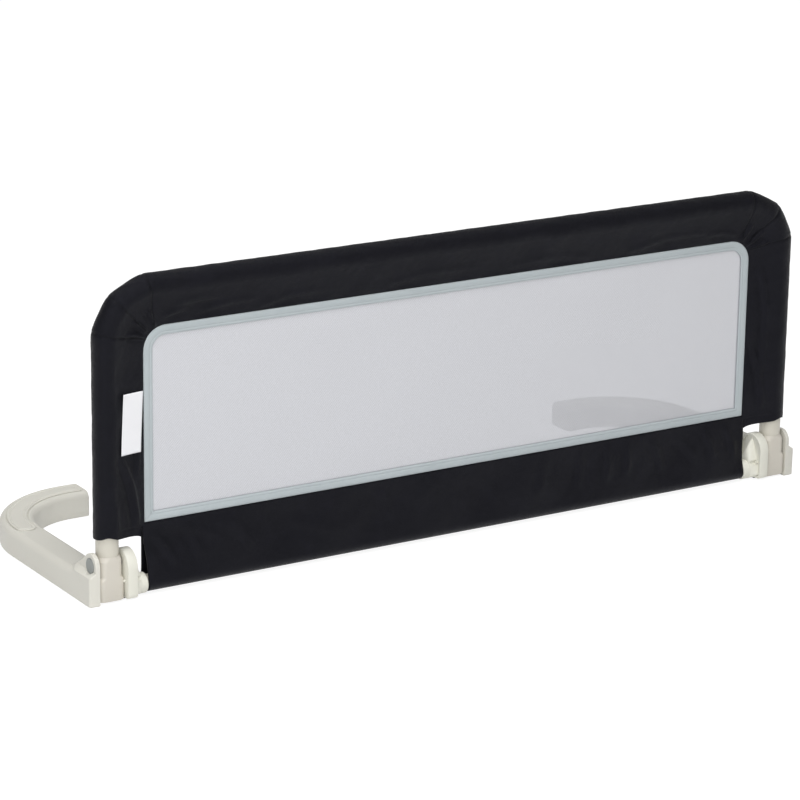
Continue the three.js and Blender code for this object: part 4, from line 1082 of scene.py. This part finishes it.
carried = {
    tubeCoat: ("top_tube", "lower_tube"),
    steel: ("tube_snap_button", "post_rivet", "axle_bolt", "axle_nut", "lock_gear", "arm_screw"),
    hubIvory: ("hub_screw",),
    ivory: ("arm_base_plate",),
    rubber: ("hub_foot",),
}
for name, node in frame["nodes"].items():
    for material, names in carried.items():
        if any(part in name for part in names):
            node.data.materials.clear()
            node.data.materials.append(material)

# Studio

studio = dict(floorSize=14.0, floorDrop=0.3, floorGlow=1.45, glowShare=0.6, worldLight=0.45)
lamps = dict(
    key=dict(place=(-0.6, -1.33, 3.1), aim=(0, 0, 0.15), size=2.2, power=54),
    fill=dict(place=(-1.8, -2.3, 1.25), aim=(-0.15, 0, 0.15), size=1.8, power=29),
    back=dict(place=(-0.2, 1.1, 3.3), aim=(0, 0, 0.2), size=1.2, power=16),
)
camera = dict(focal=3398.199, azimuth=-32.018, pitch=16.79, roll=0.86, place=(-2239.861, -3440.679, 1416.16),
              pixels=800, sensor=36.0, clip=(0.1, 60))


def floorPiece():
    # pale and matt; what the camera and glossy surfaces see is mostly its own white, so a shadow stays faint
    half = studio["floorSize"] / 2 / mm
    grid = np.array([[(x, y, 0) for y in (-half, half)] for x in (-half, half)], float)
    piece = gridPiece("floor", grid - [0, postPlane, studio["floorDrop"]], outward=False)
    finish = Finish("paleFloor", Roughness=0.9)
    finish.use(Base_Color=finish.mix(finish.noise(3, 2), (0.8, 0.8, 0.8, 1), (0.83, 0.83, 0.83, 1)))
    tree = finish.tree
    glow, path, pick = (tree.nodes.new(kind) for kind in
                        ("ShaderNodeEmission", "ShaderNodeLightPath", "ShaderNodeMixShader"))
    glow.inputs["Strength"].default_value = studio["floorGlow"]
    seen = [Number(finish, path.outputs[f"Is {kind} Ray"]) for kind in ("Camera", "Glossy", "Transmission")]
    seen = finish.math("MAXIMUM", seen[0], finish.math("MAXIMUM", seen[1], seen[2]))
    finish.feed(pick.inputs[0], seen * studio["glowShare"])
    tree.links.new(finish.shader.outputs[0], pick.inputs[1])
    tree.links.new(glow.outputs[0], pick.inputs[2])
    output = next(n for n in tree.nodes if n.type == "OUTPUT_MATERIAL")
    tree.links.new(pick.outputs[0], output.inputs["Surface"])
    piece.data.materials.append(finish.material)


def world():
    # plain white to the camera, and a soft light to everything else
    background = bpy.data.worlds.new("studio")
    bpy.context.scene.world = background
    background.use_nodes = True
    tree = background.node_tree
    tree.nodes.clear()
    path, light, white, pick, output = (tree.nodes.new(f"ShaderNode{kind}") for kind in
                                        ("LightPath", "Background", "Background", "MixShader", "OutputWorld"))
    light.inputs["Strength"].default_value = studio["worldLight"]
    white.inputs["Color"].default_value = (1, 1, 1, 1)
    tree.links.new(path.outputs["Is Camera Ray"], pick.inputs[0])
    tree.links.new(light.outputs[0], pick.inputs[1])
    tree.links.new(white.outputs[0], pick.inputs[2])
    tree.links.new(pick.outputs[0], output.inputs["Surface"])


def lamp(name, place, aim, size, power):
    # a round lamp that looks from its place to its aim
    data = bpy.data.lights.new(name, "AREA")
    data.shape, data.size, data.energy = "DISK", size, power
    lampObject = bpy.data.objects.new(name, data)
    lampObject.location = place
    lampObject.rotation_euler = (Vector(aim) - Vector(place)).to_track_quat("-Z", "Y").to_euler()
    bpy.context.scene.collection.objects.link(lampObject)


def photoCamera():
    # the view of the photograph, fitted without shift: focal length in pixels of its frame
    data = bpy.data.cameras.new("camera")
    data.sensor_width, data.lens = camera["sensor"], camera["focal"] * camera["sensor"] / camera["pixels"]
    data.clip_start, data.clip_end = camera["clip"]
    a, e, r = (math.radians(camera[k]) for k in ("azimuth", "pitch", "roll"))
    forward = Vector((-math.sin(a) * math.cos(e), math.cos(a) * math.cos(e), -math.sin(e)))
    level = Vector((math.cos(a), math.sin(a), 0))
    right = math.cos(r) * level + math.sin(r) * level.cross(forward)
    rotation = Matrix((right, right.cross(forward), -forward)).transposed().to_4x4()
    x, y, z = camera["place"]
    cameraObject = bpy.data.objects.new("camera", data)
    cameraObject.matrix_world = Matrix.Translation((x * mm, (y + postPlane) * mm, z * mm)) @ rotation
    bpy.context.scene.collection.objects.link(cameraObject)
    bpy.context.scene.camera = cameraObject


floorPiece()
world()
for name, values in lamps.items():
    lamp(name, **values)
photoCamera()
bpy.context.scene.view_settings.view_transform = "Standard"
print("studio set")
